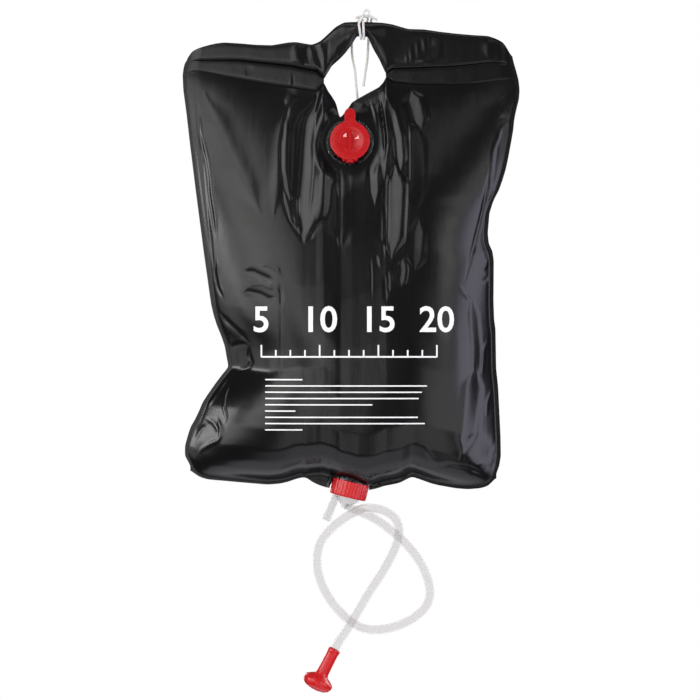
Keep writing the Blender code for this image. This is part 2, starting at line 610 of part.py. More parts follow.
def make_cap(hinge, hinge_radius, hinge_height, disc_low, red):
    """The push-in cap: a disc with a hollow plug, a rib across its pocket, a pull tab and its strap."""
    disc_high = disc_low + CAP_THICKNESS
    plug_low = disc_low - PLUG_DEPTH
    plug_radius = FILLER_BORE - FIT
    profile = ((0, plug_low), (plug_radius - PLUG_TAPER, plug_low), (plug_radius, disc_low - GAP),
               (CAP_RADIUS - CAP_EDGE, disc_low), (CAP_RADIUS, disc_low + CAP_EDGE),
               (CAP_RADIUS, disc_high - CAP_EDGE), (CAP_RADIUS - CAP_EDGE, disc_high),
               (CAP_POCKET_RADIUS, disc_high), (CAP_POCKET_RADIUS - PLUG_TAPER, plug_low + PLUG_FLOOR),
               (0, plug_low + PLUG_FLOOR))
    carrier = add_object("cap_centre", None, parent=hinge)
    carrier.location = (0, hinge_radius, -hinge_height)
    cap = add_mesh("filler_cap", turned(profile), red, carrier)
    rib = block((-RIB_WIDTH / 2, -CAP_POCKET_RADIUS, plug_low + PLUG_FLOOR / 2),
                (RIB_WIDTH / 2, CAP_POCKET_RADIUS, disc_high - CAP_EDGE))
    combine(cap, add_mesh("cap_rib", rib, parent=carrier), "UNION")

    tab_low = disc_low + CAP_EDGE / 2
    tab_end = CAP_RADIUS + TAB_REACH - TAB_WIDTH / 2
    tab = block((-TAB_WIDTH / 2, CAP_POCKET_RADIUS + CAP_EDGE, tab_low),
                (TAB_WIDTH / 2, tab_end, tab_low + TAB_THICKNESS - CAP_EDGE))
    combine(cap, add_mesh("cap_tab", tab, parent=carrier), "UNION")
    round_end = add_mesh("cap_tab_end", rod(TAB_WIDTH / 2, tab_low, tab_low + TAB_THICKNESS - CAP_EDGE, SMALL_SIDES),
                         parent=carrier)
    round_end.location = (0, tab_end, 0)
    combine(cap, round_end, "UNION")

    strap_low = hinge_height + HINGE_GAP / 2
    arm = block((-STRAP_WIDTH / 2, -hinge_radius, disc_low + CAP_EDGE / 2),
                (STRAP_WIDTH / 2, -CAP_RADIUS + STRAP_REACH, disc_low + CAP_EDGE / 2 + STRAP_THICKNESS))
    combine(cap, add_mesh("cap_strap_arm", arm, parent=carrier), "UNION")
    leg = block((-STRAP_WIDTH / 2, -hinge_radius, strap_low),
                (STRAP_WIDTH / 2, -hinge_radius + STRAP_THICKNESS, disc_low + CAP_EDGE / 2 + STRAP_THICKNESS / 2))
    combine(cap, add_mesh("cap_strap_leg", leg, parent=carrier), "UNION")


def make_outlet(frame, clear, red, rubber):
    """The welded spout, its gasket, the nozzle and the ribbed nut that holds them together."""
    spout_radius = SPOUT_BORE + SPOUT_WALL
    ring_end = WELD_RING_PLACE + WELD_RING_THICKNESS
    profile = ((SPOUT_BORE, -SPOUT_INSIDE), (spout_radius, -SPOUT_INSIDE), (spout_radius, WELD_RING_PLACE),
               (spout_radius + WELD_RING_WALL, WELD_RING_PLACE), (spout_radius + WELD_RING_WALL, ring_end),
               (spout_radius, ring_end), (spout_radius, SPOUT_OUTSIDE), (SPOUT_BORE, SPOUT_OUTSIDE))
    add_mesh("outlet_spout", turned(profile), clear, frame)

    gasket_low = SPOUT_OUTSIDE + GAP
    gasket_high = gasket_low + GASKET_THICKNESS
    profile = ((SPOUT_BORE, gasket_low), (spout_radius, gasket_low), (spout_radius, gasket_high),
               (SPOUT_BORE, gasket_high))
    add_mesh("outlet_gasket", turned(profile), rubber, frame)

    flange_low = gasket_high + GAP
    flange_high = flange_low + NOZZLE_FLANGE
    lip_low = flange_high + GAP
    lip_high = lip_low + COLLAR_LIP
    skirt_radius = spout_radius - SKIRT_INSET
    collar_bore = spout_radius + FIT
    collar_radius = collar_bore + COLLAR_WALL
    profile = ((collar_bore, COLLAR_PLACE), (collar_radius, COLLAR_PLACE),
               (collar_radius, COLLAR_PLACE + RIB_DEPTH), (collar_radius, lip_high - RIB_DEPTH),
               (collar_radius - RIB_DEPTH, lip_high), (skirt_radius + GAP, lip_high),
               (skirt_radius + GAP, lip_low), (collar_bore, lip_low))
    collar = turned(profile, 2 * RIB_COUNT, ribbed=(2, 3), rib_depth=RIB_DEPTH)
    add_mesh("outlet_collar", collar, red, frame)

    profile = [(0, flange_low), (spout_radius, flange_low), (spout_radius, flange_high),
               (skirt_radius, flange_high)]
    profile += [(skirt_radius * r, lip_high + CONE_LENGTH * s) for r, s in CONE_OUTLINE_SHARES]
    profile += [(ELBOW_RADIUS * r, lip_high + CONE_LENGTH * s) for r, s in ELBOW_OUTLINE_SHARES]
    nozzle = add_mesh("outlet_nozzle", turned(profile), clear, frame)
    mouth = hose_mouth()
    spigot_frame = add_frame("spigot_frame", mouth, (0, -1, 0), spigot_direction())
    spigot = add_mesh("spigot_outside", rod(SPIGOT_RADIUS, -SPIGOT_LENGTH, -GAP, SMALL_SIDES), parent=spigot_frame)
    combine(nozzle, spigot, "UNION")
    stub_frame = add_object("stub_frame", None, parent=frame)
    stub_frame.location = (-(skirt_radius - STUB_INSET), 0, lip_high + STUB_RADIUS * math.sin(STUB_TILT))
    stub_frame.rotation_euler = (0, -STUB_TILT, 0)
    stub = add_mesh("stub_outside", rod(STUB_RADIUS, GAP, STUB_LENGTH, SMALL_SIDES), parent=stub_frame)
    combine(nozzle, stub, "UNION")

    bore_radius = skirt_radius - NOZZLE_WALL
    bore_end = lip_high + CONE_LENGTH * ELBOW_PLACE_SHARE + SPIGOT_BORE
    profile = [(0, flange_low - OVERRUN), (bore_radius, flange_low - OVERRUN)]
    profile += [(skirt_radius * r - NOZZLE_WALL, lip_high + CONE_LENGTH * s - NOZZLE_WALL / 2)
                for r, s in CONE_OUTLINE_SHARES]
    profile += [(SPIGOT_BORE, bore_end), (0, bore_end)]
    combine(nozzle, add_mesh("nozzle_bore", turned(profile), parent=frame), "DIFFERENCE")
    bore = add_mesh("stub_bore", rod(STUB_BORE, NOZZLE_WALL + GAP, STUB_LENGTH + OVERRUN, BORE_SIDES),
                    parent=stub_frame)
    combine(nozzle, bore, "DIFFERENCE")
    bore = add_mesh("spigot_bore", rod(SPIGOT_BORE - FIT, SPIGOT_BORE / 2 - SPIGOT_LENGTH, OVERRUN, BORE_SIDES),
                    parent=spigot_frame)
    combine(nozzle, bore, "DIFFERENCE")


def outlet_place():
    """Where the spout's axis crosses the bottom weld."""
    return Vector((bag_x(OUTLET_ACROSS_SHARE), 0, bag_z(OUTLET_DOWN_SHARE)))


def outlet_direction():
    """Out of the bag along the spout: down and to the left."""
    return Vector((-math.sin(OUTLET_TILT), 0, -math.cos(OUTLET_TILT)))


def spigot_direction():
    """Out of the nozzle along the hose's spigot: right and a little down."""
    return Vector((math.cos(SPIGOT_TILT), 0, -math.sin(SPIGOT_TILT)))


def nut_end_place():
    """How far along the spout's axis the nut ends."""
    return SPOUT_OUTSIDE + 3 * GAP + GASKET_THICKNESS + NOZZLE_FLANGE + COLLAR_LIP


def hose_mouth():
    """The end of the nozzle's spigot, where the hose starts."""
    elbow = outlet_place() + outlet_direction() * (nut_end_place() + CONE_LENGTH * ELBOW_PLACE_SHARE)
    return elbow + spigot_direction() * SPIGOT_LENGTH


def make_hose(clear):
    """The hose, from the spigot to just inside the neck of the head. Returns its end and direction."""
    route = np.array(HOSE_ROUTE) + np.array(hose_mouth())
    points = smooth_route(route, HOSE_STEP)
    tube("hose", points, HOSE_DIAMETER, clear, resolution=3)
    print("hose length", round(route_length(points), 4))
    print("least gap of the hose to itself", round(least_gap(points, HOSE_DIAMETER), 5))
    end = Vector(route[-1])
    return end, (end - Vector(route[-2])).normalized()


def make_head(end, direction, red, clear, rubber):
    """The valve stem in the hose's end, its ring, and the head that slides on them with its plate."""
    neck_start = end - direction * HOSE_INSERT
    frame = add_frame("head_frame", neck_start, direction.cross(Vector((0, -1, 0))), direction)
    neck_bore = HOSE_DIAMETER / 2 + FIT
    seat_start = HEAD_NECK_LENGTH - SEAT_LENGTH
    bell_end = HEAD_NECK_LENGTH + BELL_LENGTH
    plate_low = bell_end - PLATE_SEAT
    plate_seat = BELL_RADIUS - BELL_WALL / 2
    outside = [(HEAD_NECK_RADIUS * r, HEAD_NECK_LENGTH * s) for r, s in NECK_OUTLINE_SHARES]
    outside += [(BELL_RADIUS * r, HEAD_NECK_LENGTH + BELL_LENGTH * s) for r, s in BELL_OUTLINE_SHARES]
    inside = [(plate_seat, bell_end), (plate_seat, plate_low), (plate_seat - BELL_WALL, plate_low),
              (BELL_RADIUS * BELL_OUTLINE_SHARES[1][0] - BELL_WALL, HEAD_NECK_LENGTH + BELL_WALL),
              (SEAT_RADIUS, HEAD_NECK_LENGTH), (SEAT_RADIUS, seat_start), (neck_bore, seat_start - FIT),
              (neck_bore, 0)]
    add_mesh("shower_head", turned(outside + inside, SIDES), red, frame)

    stem_radius = SEAT_RADIUS - GAP
    stem_start = HOSE_INSERT + GAP
    flange_end = stem_start + STEM_FLANGE
    ring_middle = flange_end + 2 * RING_THICKNESS
    groove = RING_THICKNESS / 2 + GAP / 2
    ring_outer = neck_bore - GAP
    groove_radius = ring_outer - RING_THICKNESS - GAP / 2
    stem_end = HEAD_NECK_LENGTH
    port_place = seat_start - 2 * PORT_RADIUS
    profile = ((0, stem_start), (ring_outer, stem_start), (ring_outer, flange_end), (stem_radius, flange_end),
               (stem_radius, ring_middle - groove), (groove_radius, ring_middle - groove),
               (groove_radius, ring_middle + groove), (stem_radius, ring_middle + groove),
               (stem_radius, stem_end), (0, stem_end))
    stem = add_mesh("shower_stem", turned(profile, SMALL_SIDES), clear, frame)
    bore = add_mesh("stem_bore", rod(STEM_BORE, stem_start - OVERRUN, port_place + PORT_RADIUS, SMALL_SIDES),
                    parent=frame)
    combine(stem, bore, "DIFFERENCE")
    port = add_mesh("stem_port", rod(PORT_RADIUS, -2 * stem_radius, 2 * stem_radius, HOLE_SIDES), parent=frame)
    port.rotation_euler = (0, math.pi / 2, 0)
    port.location = (0, 0, port_place)
    combine(stem, port, "DIFFERENCE")

    half = RING_THICKNESS / 2
    profile = [(ring_outer - half + half * math.cos(math.tau * step / HOLE_SIDES),
                ring_middle + half * math.sin(math.tau * step / HOLE_SIDES)) for step in range(HOLE_SIDES)]
    add_mesh("stem_o_ring", turned(profile, SMALL_SIDES), rubber, frame)
    make_spray_plate(frame, plate_seat - GAP, plate_low + GAP, bell_end, red)


def make_spray_plate(frame, radius, low, bell_end, red):
    """The domed face: a shallow cap of even thickness with rings of spray holes."""
    dome = [(math.sin(turn), math.cos(turn)) for turn in np.linspace(math.pi / 2, 0, 5)]
    rim = bell_end - GAP
    outside = [(radius * across, rim + FACE_RISE * up) for across, up in dome]
    inner_radius = radius - PLATE_THICKNESS
    inside = [(inner_radius * across, rim - PLATE_THICKNESS + FACE_RISE * up) for across, up in dome]
    profile = [(radius, low)] + outside + inside[::-1] + [(inner_radius, low)]
    plate = add_mesh("spray_plate", turned(profile, SIDES), red, frame)
    cutter = bmesh.new()
    for number, count in enumerate(SPRAY_RING_COUNTS):
        for step in range(count):
            angle = math.tau * step / count
            reach = number * SPRAY_RING_SHARE * radius
            place = Matrix.Translation((reach * math.cos(angle), reach * math.sin(angle), rim + FACE_RISE / 2))
            bmesh.ops.create_cone(cutter, cap_ends=True, segments=HOLE_SIDES, radius1=SPRAY_HOLE_RADIUS,
                                  radius2=SPRAY_HOLE_RADIUS, depth=2 * FACE_RISE, matrix=place)
    combine(plate, add_mesh("spray_holes", cutter, parent=frame), "DIFFERENCE")


def make_hanging_cord(cord):
    """The cord that is wound round the grip, its knot, the loop above it and the two tails behind."""
    radius = CORD_DIAMETER / 2
    loop_radius = LOOP_WIDTH / 2 - radius
    knot_top = -(LOOP_WIDTH / 2 + radius + CORD_CLEARANCE)
    knot = Vector((KNOT_X, 0, knot_top - KNOT_HEIGHT / 2))

    grip_top = bag_z(GRIP_TOP_SHARE)
    grip_bottom = bag_z(GRIP_BOTTOM_SHARE)
    reach_up = (grip_top - grip_bottom) / 2 + FILM + CORD_CLEARANCE + radius
    reach_out = SLEEVE_DEPTH + FILM + WELD_GAP + CORD_CLEARANCE + radius
    middle = (grip_top + grip_bottom) / 2
    turns = np.linspace(WINDING_START_TURN_SHARE, WINDING_TURNS - WINDING_START_TURN_SHARE, 24 * WINDING_TURNS + 1)
    angle = math.tau * turns
    step = WINDING_BOTTOM_STEP + (WINDING_TOP_STEP - WINDING_BOTTOM_STEP) * (1 + np.cos(angle)) / 2
    winding = np.column_stack((WINDING_CENTRE_X + (turns - WINDING_TURNS / 2) * step,
                               -reach_out * np.sin(angle), middle + reach_up * np.cos(angle)))
    lead_in = smooth_route(np.vstack((np.array(WINDING_LEAD_IN) + knot, winding[:1])), CORD_DIAMETER)[:-1]
    lead_out = smooth_route(np.vstack((winding[-1:], np.array(WINDING_LEAD_OUT) + knot)), CORD_DIAMETER)[1:]
    path = np.vstack((lead_in, winding, lead_out))
    tube("hanging_cord_wrap", path, CORD_DIAMETER, cord, resolution=1)
    print("least gap of the winding to itself", round(least_gap(path, CORD_DIAMETER), 5))

    arch = []
    for share in np.linspace(0, 1, 9):
        turn = math.pi * (1 - share)
        arch.append((loop_radius * math.cos(turn), 0, -LOOP_WIDTH / 2 + loop_radius * math.sin(turn)))
    foot = knot_top + CORD_CLEARANCE
    points = [(-loop_radius, 0, foot)] + arch + [(loop_radius, 0, foot)]
    tube("hanging_cord_loop", points, CORD_DIAMETER, cord)

    lump = bmesh.new()
    bmesh.ops.create_uvsphere(lump, u_segments=16, v_segments=10, radius=1)
    for vert in lump.verts:
        vert.co = Vector((vert.co.x * KNOT_WIDTH / 2, vert.co.y * KNOT_DEPTH / 2, vert.co.z * KNOT_HEIGHT / 2))
    body = add_mesh("hanging_cord_knot", lump, cord)
    body.location = knot
    ends = tube("short_ends", smooth_route(np.array(SHORT_ENDS_ROUTE) + knot, CORD_DIAMETER), CORD_DIAMETER, cord)
    ends_mesh = bpy.data.meshes.new_from_object(ends.evaluated_get(bpy.context.evaluated_depsgraph_get()))
    bpy.data.objects.remove(ends, do_unlink=True)
    combine(body, add_object("short_ends", ends_mesh), "UNION")
    for name, route in (("hanging_cord_tail_left", LEFT_TAIL_ROUTE), ("hanging_cord_tail_right", RIGHT_TAIL_ROUTE)):
        points = smooth_route(np.array(route) + knot, 2 * CORD_DIAMETER)
        tube(name, points, CORD_DIAMETER, cord)
        print(name, "length", round(route_length(points), 4))
    print("winding length", round(route_length(path), 4))


def least_gap(path, diameter):
    """The least gap between a tube's surface and itself, for points more than three diameters apart."""
    fine = smooth_route(path, diameter / 6)
    away = np.linalg.norm(fine[:, None] - fine[None, :], axis=2)
    number = np.arange(len(fine))
    apart = np.abs(number[:, None] - number[None, :]) > 18
    return float(away[apart].min() - diameter)


def main():
    """Build every piece."""
    clear_scene()
    film = make_material("black_film", BLACK_FILM, 0.28)
    clear = make_material("clear_plastic", CLEAR_PLASTIC, 0.15, alpha=0.45)
    red = make_material("red_plastic", RED_PLASTIC, 0.30)
    cord = make_material("white_cord", WHITE_CORD, 0.60)
    rubber = make_material("grey_rubber", GREY_RUBBER, 0.80)

    outlet = add_frame("outlet_frame", outlet_place(), (math.cos(OUTLET_TILT), 0, -math.sin(OUTLET_TILT)),
                       outlet_direction())
    film_face = SEAT_DEPTH + WELD_GAP / 2 + FILM / math.cos(FILLER_TILT)
    filler_place = Vector((bag_x(FILLER_ACROSS_SHARE), -film_face, bag_z(FILLER_DOWN_SHARE)))
    filler = add_frame("filler_frame", filler_place, (1, 0, 0),
                       (0, -math.cos(FILLER_TILT), math.sin(FILLER_TILT)))
    front_sheet = make_bag(film, outlet)
    make_filler(filler, front_sheet, clear, red)
    make_outlet(outlet, clear, red, rubber)
    end, direction = make_hose(clear)
    make_head(end, direction, red, clear, rubber)
    make_hanging_cord(cord)


main()
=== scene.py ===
"""The looks of a camp shower: a part-filled black film bag on a cord loop, its cap, outlet, hose and head."""
import json
import math

import bmesh
import bpy
import numpy as np
from mathutils import Matrix
from mathutils.bvhtree import BVHTree


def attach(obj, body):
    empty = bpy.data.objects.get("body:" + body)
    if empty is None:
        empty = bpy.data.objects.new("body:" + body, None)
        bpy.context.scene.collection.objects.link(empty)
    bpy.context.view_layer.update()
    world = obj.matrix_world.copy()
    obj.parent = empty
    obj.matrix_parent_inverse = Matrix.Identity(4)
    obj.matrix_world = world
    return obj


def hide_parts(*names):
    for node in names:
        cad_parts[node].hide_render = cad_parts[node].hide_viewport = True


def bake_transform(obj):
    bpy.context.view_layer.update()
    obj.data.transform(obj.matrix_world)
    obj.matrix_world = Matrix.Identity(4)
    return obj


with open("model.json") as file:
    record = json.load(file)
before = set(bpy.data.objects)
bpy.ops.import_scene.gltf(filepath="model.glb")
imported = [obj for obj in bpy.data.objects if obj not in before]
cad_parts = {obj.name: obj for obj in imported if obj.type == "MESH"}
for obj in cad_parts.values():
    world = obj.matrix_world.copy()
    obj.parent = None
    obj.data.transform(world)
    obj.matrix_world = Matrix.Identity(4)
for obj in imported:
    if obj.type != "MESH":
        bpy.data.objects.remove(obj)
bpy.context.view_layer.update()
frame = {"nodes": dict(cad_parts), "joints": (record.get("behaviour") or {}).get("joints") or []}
joints = {joint["name"]: joint for joint in frame["joints"]}

# The studio: a plain white sweep, seen from straight in front at the height of the bag's middle. Soft
# boxes, panels and strips stand round the bag, because the dark film shows mostly what it mirrors: bright
# ones at the left, dim ones in front, and faintly lilac ones at the right and below.
PICTURE_STEP = 0.0012
PICTURE_SIDE = 700
PICTURE_COLUMN = 366.5
PICTURE_ROW = 9.0


def picture_place(column, row):
    """A picture's column and row as x and z in metres, in the plane of the bag's rim."""
    return (column - PICTURE_COLUMN) * PICTURE_STEP, (PICTURE_ROW - row) * PICTURE_STEP


def shown(name, data):
    """An object in the scene with this mesh, curve, lamp or camera."""
    thing = bpy.data.objects.new(name, data)
    scene.collection.objects.link(thing)
    return thing


scene = bpy.context.scene
scene.view_settings.view_transform = "Standard"
view_x, view_z = picture_place(PICTURE_SIDE / 2, PICTURE_SIDE / 2)
lens = bpy.data.cameras.new("camera")
lens.sensor_width = 36
lens.lens = 180
lens.clip_end = 50
camera = shown("camera", lens)
camera.location = (view_x, -PICTURE_STEP * PICTURE_SIDE * lens.lens / lens.sensor_width, view_z)
camera.rotation_euler = (math.pi / 2, 0, 0)
scene.camera = camera

world = bpy.data.worlds.new("studio")
world.use_nodes = True
scene.world = world
sky = world.node_tree
room = sky.nodes["Background"]
room.inputs["Color"].default_value = (0.93, 0.96, 1.0, 1)
room.inputs["Strength"].default_value = 0.12
backdrop = sky.nodes.new("ShaderNodeBackground")
backdrop.inputs["Color"].default_value = (1, 1, 1, 1)
backdrop.inputs["Strength"].default_value = 1.0
rays = sky.nodes.new("ShaderNodeLightPath")
clear_way = sky.nodes.new("ShaderNodeMath")
clear_way.operation = "MAXIMUM"
sky.links.new(rays.outputs["Is Camera Ray"], clear_way.inputs[0])
sky.links.new(rays.outputs["Is Transmission Ray"], clear_way.inputs[1])
choice = sky.nodes.new("ShaderNodeMixShader")
sky.links.new(clear_way.outputs[0], choice.inputs[0])
sky.links.new(room.outputs[0], choice.inputs[1])
sky.links.new(backdrop.outputs[0], choice.inputs[2])
sky.links.new(choice.outputs[0], sky.nodes["World Output"].inputs["Surface"])

STUDIO_X = -0.02
WARM_WHITE = (1.0, 0.99, 0.97)
FLOOR_LEVEL = -0.86
FLOOR_REACH = 6


def flat_lamp(name, place, turn, width, height, brightness, colour=(1.0, 1.0, 1.0)):
    """A flat rectangular lamp. Its power is its brightness times its area times pi."""
    lamp = bpy.data.lights.new(name, "AREA")
    lamp.shape = "RECTANGLE"
    lamp.size = width
    lamp.size_y = height
    lamp.energy = brightness * lamp.size * lamp.size_y * math.pi
    lamp.color = colour
    stand = shown(name, lamp)
    stand.location = place
    stand.rotation_euler = turn
    stand.visible_camera = False
    stand.visible_transmission = False


def soft_box(name, bearing, distance, low, high, half_angle, *light):
    """An upright flat lamp that faces the bag, at a bearing in degrees from the front, to the right.

    It stands between two heights, and its width is 2 distance tan(half angle).
    """
    angle = math.radians(bearing)
    place = (STUDIO_X + distance * math.sin(angle), -distance * math.cos(angle), (low + high) / 2)
    width = 2 * distance * math.tan(math.radians(half_angle))
    flat_lamp(name, place, (math.pi / 2, 0, angle), width, high - low, *light)


for box in (("left_low_box", -38, 2.3, -0.22, 0.10, 12, 5.6, WARM_WHITE),
            ("left_dim_box", -38, 2.3, 0.10, 0.44, 12, 2.6, WARM_WHITE),
            ("left_soft_box", -38, 2.3, 0.44, 1.90, 12, 5.4, WARM_WHITE),
            ("left_wing", -20, 2.3, -0.20, 1.90, 6, 3.2),
            ("left_level_panel", -8, 5.0, -0.22, 0.26, 7, 5.4),
            ("left_low_panel", -8, 5.0, -1.05, -0.26, 7, 3.0),
            ("low_front_panel", -9, 2.3, -2.20, -1.00, 8, 1.6),
            ("right_foot_panel", 27, 2.3, -2.60, -0.95, 17, 1.5),
            ("left_joining_panel", -57, 1.9, -0.62, -0.14, 6.5, 4.4),
            ("left_foot_panel", -38, 2.3, -0.68, -0.22, 12, 2.6),
            ("left_edge_strip", -74, 1.5, -0.36, 0.02, 11, 12.0),
            ("left_low_strip", -77, 1.5, -0.95, -0.37, 8, 1.9),
            ("right_high_strip", 46, 2.3, -0.10, 0.95, 5, 4.0, (1.0, 1.0, 0.94)),
            ("right_low_panel", 40, 2.3, -0.95, -0.20, 14, 2.2, (1.0, 0.98, 0.98)),
            ("right_upper_panel", 15, 5.0, 1.20, 2.90, 4.5, 1.5),
            ("right_strip", 69, 1.55, -1.20, 0.50, 11, 5.1, (0.84, 0.82, 1.0)),
            ("back_left_box", 205, 2.3, -0.90, 0.90, 12, 4.0),
            ("back_right_box", 128, 2.3, -1.00, 0.80, 10, 6.0),
            ("back_level_panel", 172, 4.0, -1.00, 0.60, 7, 1.6)):
    soft_box(*box)
# Two lamps lie level: one under the bag faces up, and one above it faces down.
flat_lamp("low_lamp", (STUDIO_X, -0.05, -1.70), (math.pi, 0, 0), 1.635, 1.6, 1.6, (0.95, 0.92, 1.0))
flat_lamp("top_lamp", (STUDIO_X, -0.45, 1.20), (0, 0, 0), 1.2853, 0.6, 2.0)

floor_mesh = bpy.data.meshes.new("studio_floor")
floor_mesh.from_pydata([(x * FLOOR_REACH, y * FLOOR_REACH, FLOOR_LEVEL)
                        for x, y in ((-1, -1), (1, -1), (1, 1), (-1, 1))], [], [(0, 1, 2, 3)])
floor = shown("studio_floor", floor_mesh)
floor.visible_glossy = False
floor.visible_diffuse = False
floor.visible_shadow = False
pale = bpy.data.materials.new("studio_white")
pale.use_nodes = True
for socket, value in (("Base Color", (0, 0, 0, 1)), ("Specular IOR Level", 0),
                      ("Emission Color", (1, 1, 1, 1)), ("Emission Strength", 1.0)):
    pale.node_tree.nodes["Principled BSDF"].inputs[socket].default_value = value
floor_mesh.materials.append(pale)

# The front sheet of the bag: soft black PVC film with a dull gloss, cut from the roll and welded to the
# back sheet along its rim, along two lines under the top edge and round the hand hole. Water swells it,
# and the film gathers in creases under the bunched grip, at the drawn-in waist and over the lower corners.
MM = 0.001
BAG_WIDTH = 0.402
BAG_HEIGHT = 0.559
BAG_TOP = -0.0156
GRIP_X = -0.0048
GRIP_SHARE = 0.033
FRONT_DEPTH = 0.053
BACK_DEPTH = 0.046
GRIP_DEPTH = 0.0065
SLEEVE_DEPTH = 0.0038
BAND_DEPTH = 0.0018
RIM_WIDTH = 0.005
HOLE_LEFT = -0.082
HOLE_RIGHT = 0.103
FILLER_PLACE = np.array((-0.019875, -0.018165, -0.160940))
FILLER_TILT = math.radians(10)
SEAT_DEPTH = 0.017
OUTLET_TILT = math.radians(14)
SPOUT_PLACE = np.array(joints["collar_turn"]["pos_m"])
SPOUT_ROOM = 0.0188
SPOUT_START = -0.018
FILM_END = 0.0076
NUT_ROOM = 0.0227
SPOUT_LEAD = 0.010
SPOUT_ABOVE = 0.030
SEAT_REACH = 0.050
SEAT_EASE = 0.018
FLAT_POWER = 12
SWELL_POWER = 3.2
GRIP_POWER = 0.7
GRIP_REACH = 0.075
WAIST = (-0.380, 0.732)
WAIST_SIZE = (0.085, 0.050)
WAIST_SHARE = 0.5
CREASE_ROOM = 0.0035
GROOVE_SHARE = 0.6
FILM_SKIN = 0.0006
SWOLLEN_SKIN = 0.00055
SKIN_ROOM = 0.004
WELD_GAP = 0.00005
FILM_SMOOTH_BELOW = math.radians(50)
SIDE_SOFTENING = 0.006
TOP_SOFTENING = 0.008
WELD_SOFTENING = 0.004
BOTTOM_SOFTENING = 0.010
SWELL_SOFTENING = 0.006
RIM_LEAD = 1 / 30
RIM_SHARE = 0.4
CREASE_END_WIDTH = 0.2
CREASE_END_SHARE = 0.25
STEP_SCALE = 0.91

# The film's edges and welds, in thousandths of its width across from the middle and of its height down from
# the top. Those that run across give (across, down), and the left and the right edge give (down, across).
TOP_EDGE = np.array((
    (-500, 90), (-476, 63), (-452, 55), (-428, 50), (-404, 46), (-380, 44), (-333, 46), (-285, 49),
    (-237, 50), (-213, 47), (-189, 44), (-166, 43), (-142, 46), (-118, 49), (-94, 42), (-70, 26), (-46, 10),
    (-22, 1), (2, 0), (49, 0), (75, 1), (97, 2), (121, 5), (145, 10), (169, 15), (217, 16), (264, 21),
    (312, 25), (360, 28), (408, 30), (432, 36), (455, 45), (480, 76))) / 1000
UPPER_WELD = np.array((
    (-500, 86), (-452, 82), (-336, 82), (-184, 94), (-105, 105), (-82, 123), (-58, 94), (-34, 79), (-16, 65),
    (1, 49), (16, 31), (46, 31), (64, 57), (82, 80), (103, 112), (125, 101), (234, 98), (315, 95), (419, 86),
    (491, 90))) / 1000
LOWER_WELD = np.array((
    (-500, 106), (-452, 106), (-372, 118), (-288, 129), (-199, 139), (-105, 149), (-82, 130), (-70, 148),
    (-58, 160), (-46, 174), (-34, 206), (-16, 190), (1, 173), (16, 166), (46, 154), (64, 147), (82, 140),
    (96, 129), (103, 118), (125, 129), (193, 134), (294, 134), (369, 131), (443, 124), (497, 120))) / 1000
BOTTOM_EDGE = np.array((
    (-480, 962), (-473, 967), (-452, 977), (-428, 982), (-380, 985), (-333, 988), (-285, 991), (-249, 993),
    (-213, 991), (-189, 987), (-166, 981), (-142, 977), (-130, 980), (-118, 987), (-94, 995), (-70, 1000),
    (-4, 1003), (49, 1005), (73, 1002), (97, 996), (121, 993), (145, 989), (169, 980), (181, 976),
    (193, 979), (217, 985), (240, 991), (264, 995), (312, 1001), (348, 1003), (384, 1001), (408, 996),
    (432, 978))) / 1000
LEFT_EDGE = np.array((
    (77, -489), (94, -500), (114, -504), (146, -502), (200, -492), (264, -482), (361, -465), (489, -441),
    (597, -419), (618, -412), (640, -402), (661, -389), (683, -378), (704, -373), (726, -367), (747, -389),
    (769, -410), (790, -429), (811, -445), (833, -456), (854, -467), (876, -480), (897, -489), (919, -497),
    (940, -497), (962, -480))) / 1000
RIGHT_EDGE = np.array((
    (77, 480), (103, 491), (125, 499), (146, 502), (167, 500), (189, 492), (210, 486), (232, 483),
    (253, 478), (296, 467), (318, 460), (339, 451), (361, 440), (382, 423), (404, 412), (446, 407),
    (468, 410), (489, 421), (511, 425), (597, 424), (640, 426), (661, 430), (747, 432), (790, 438),
    (897, 445), (940, 446), (962, 441), (978, 432))) / 1000
# The flat hem's height in rim widths, across the bag, and the chamber's swell down it, in thousandths.
HEM = np.array((
    (-150, 1000), (-136, 700), (-115, 2200), (-91, 3200), (-62, 3200), (-28, 2200), (20, 1000))) / 1000
SWELL = np.array((
    (0, 0), (3, 12), (22, 75), (64, 190), (127, 335), (230, 530), (370, 720), (510, 850), (645, 940),
    (780, 1000), (867, 980), (920, 880), (955, 700), (975, 520), (988, 320), (1000, 0))) / 1000

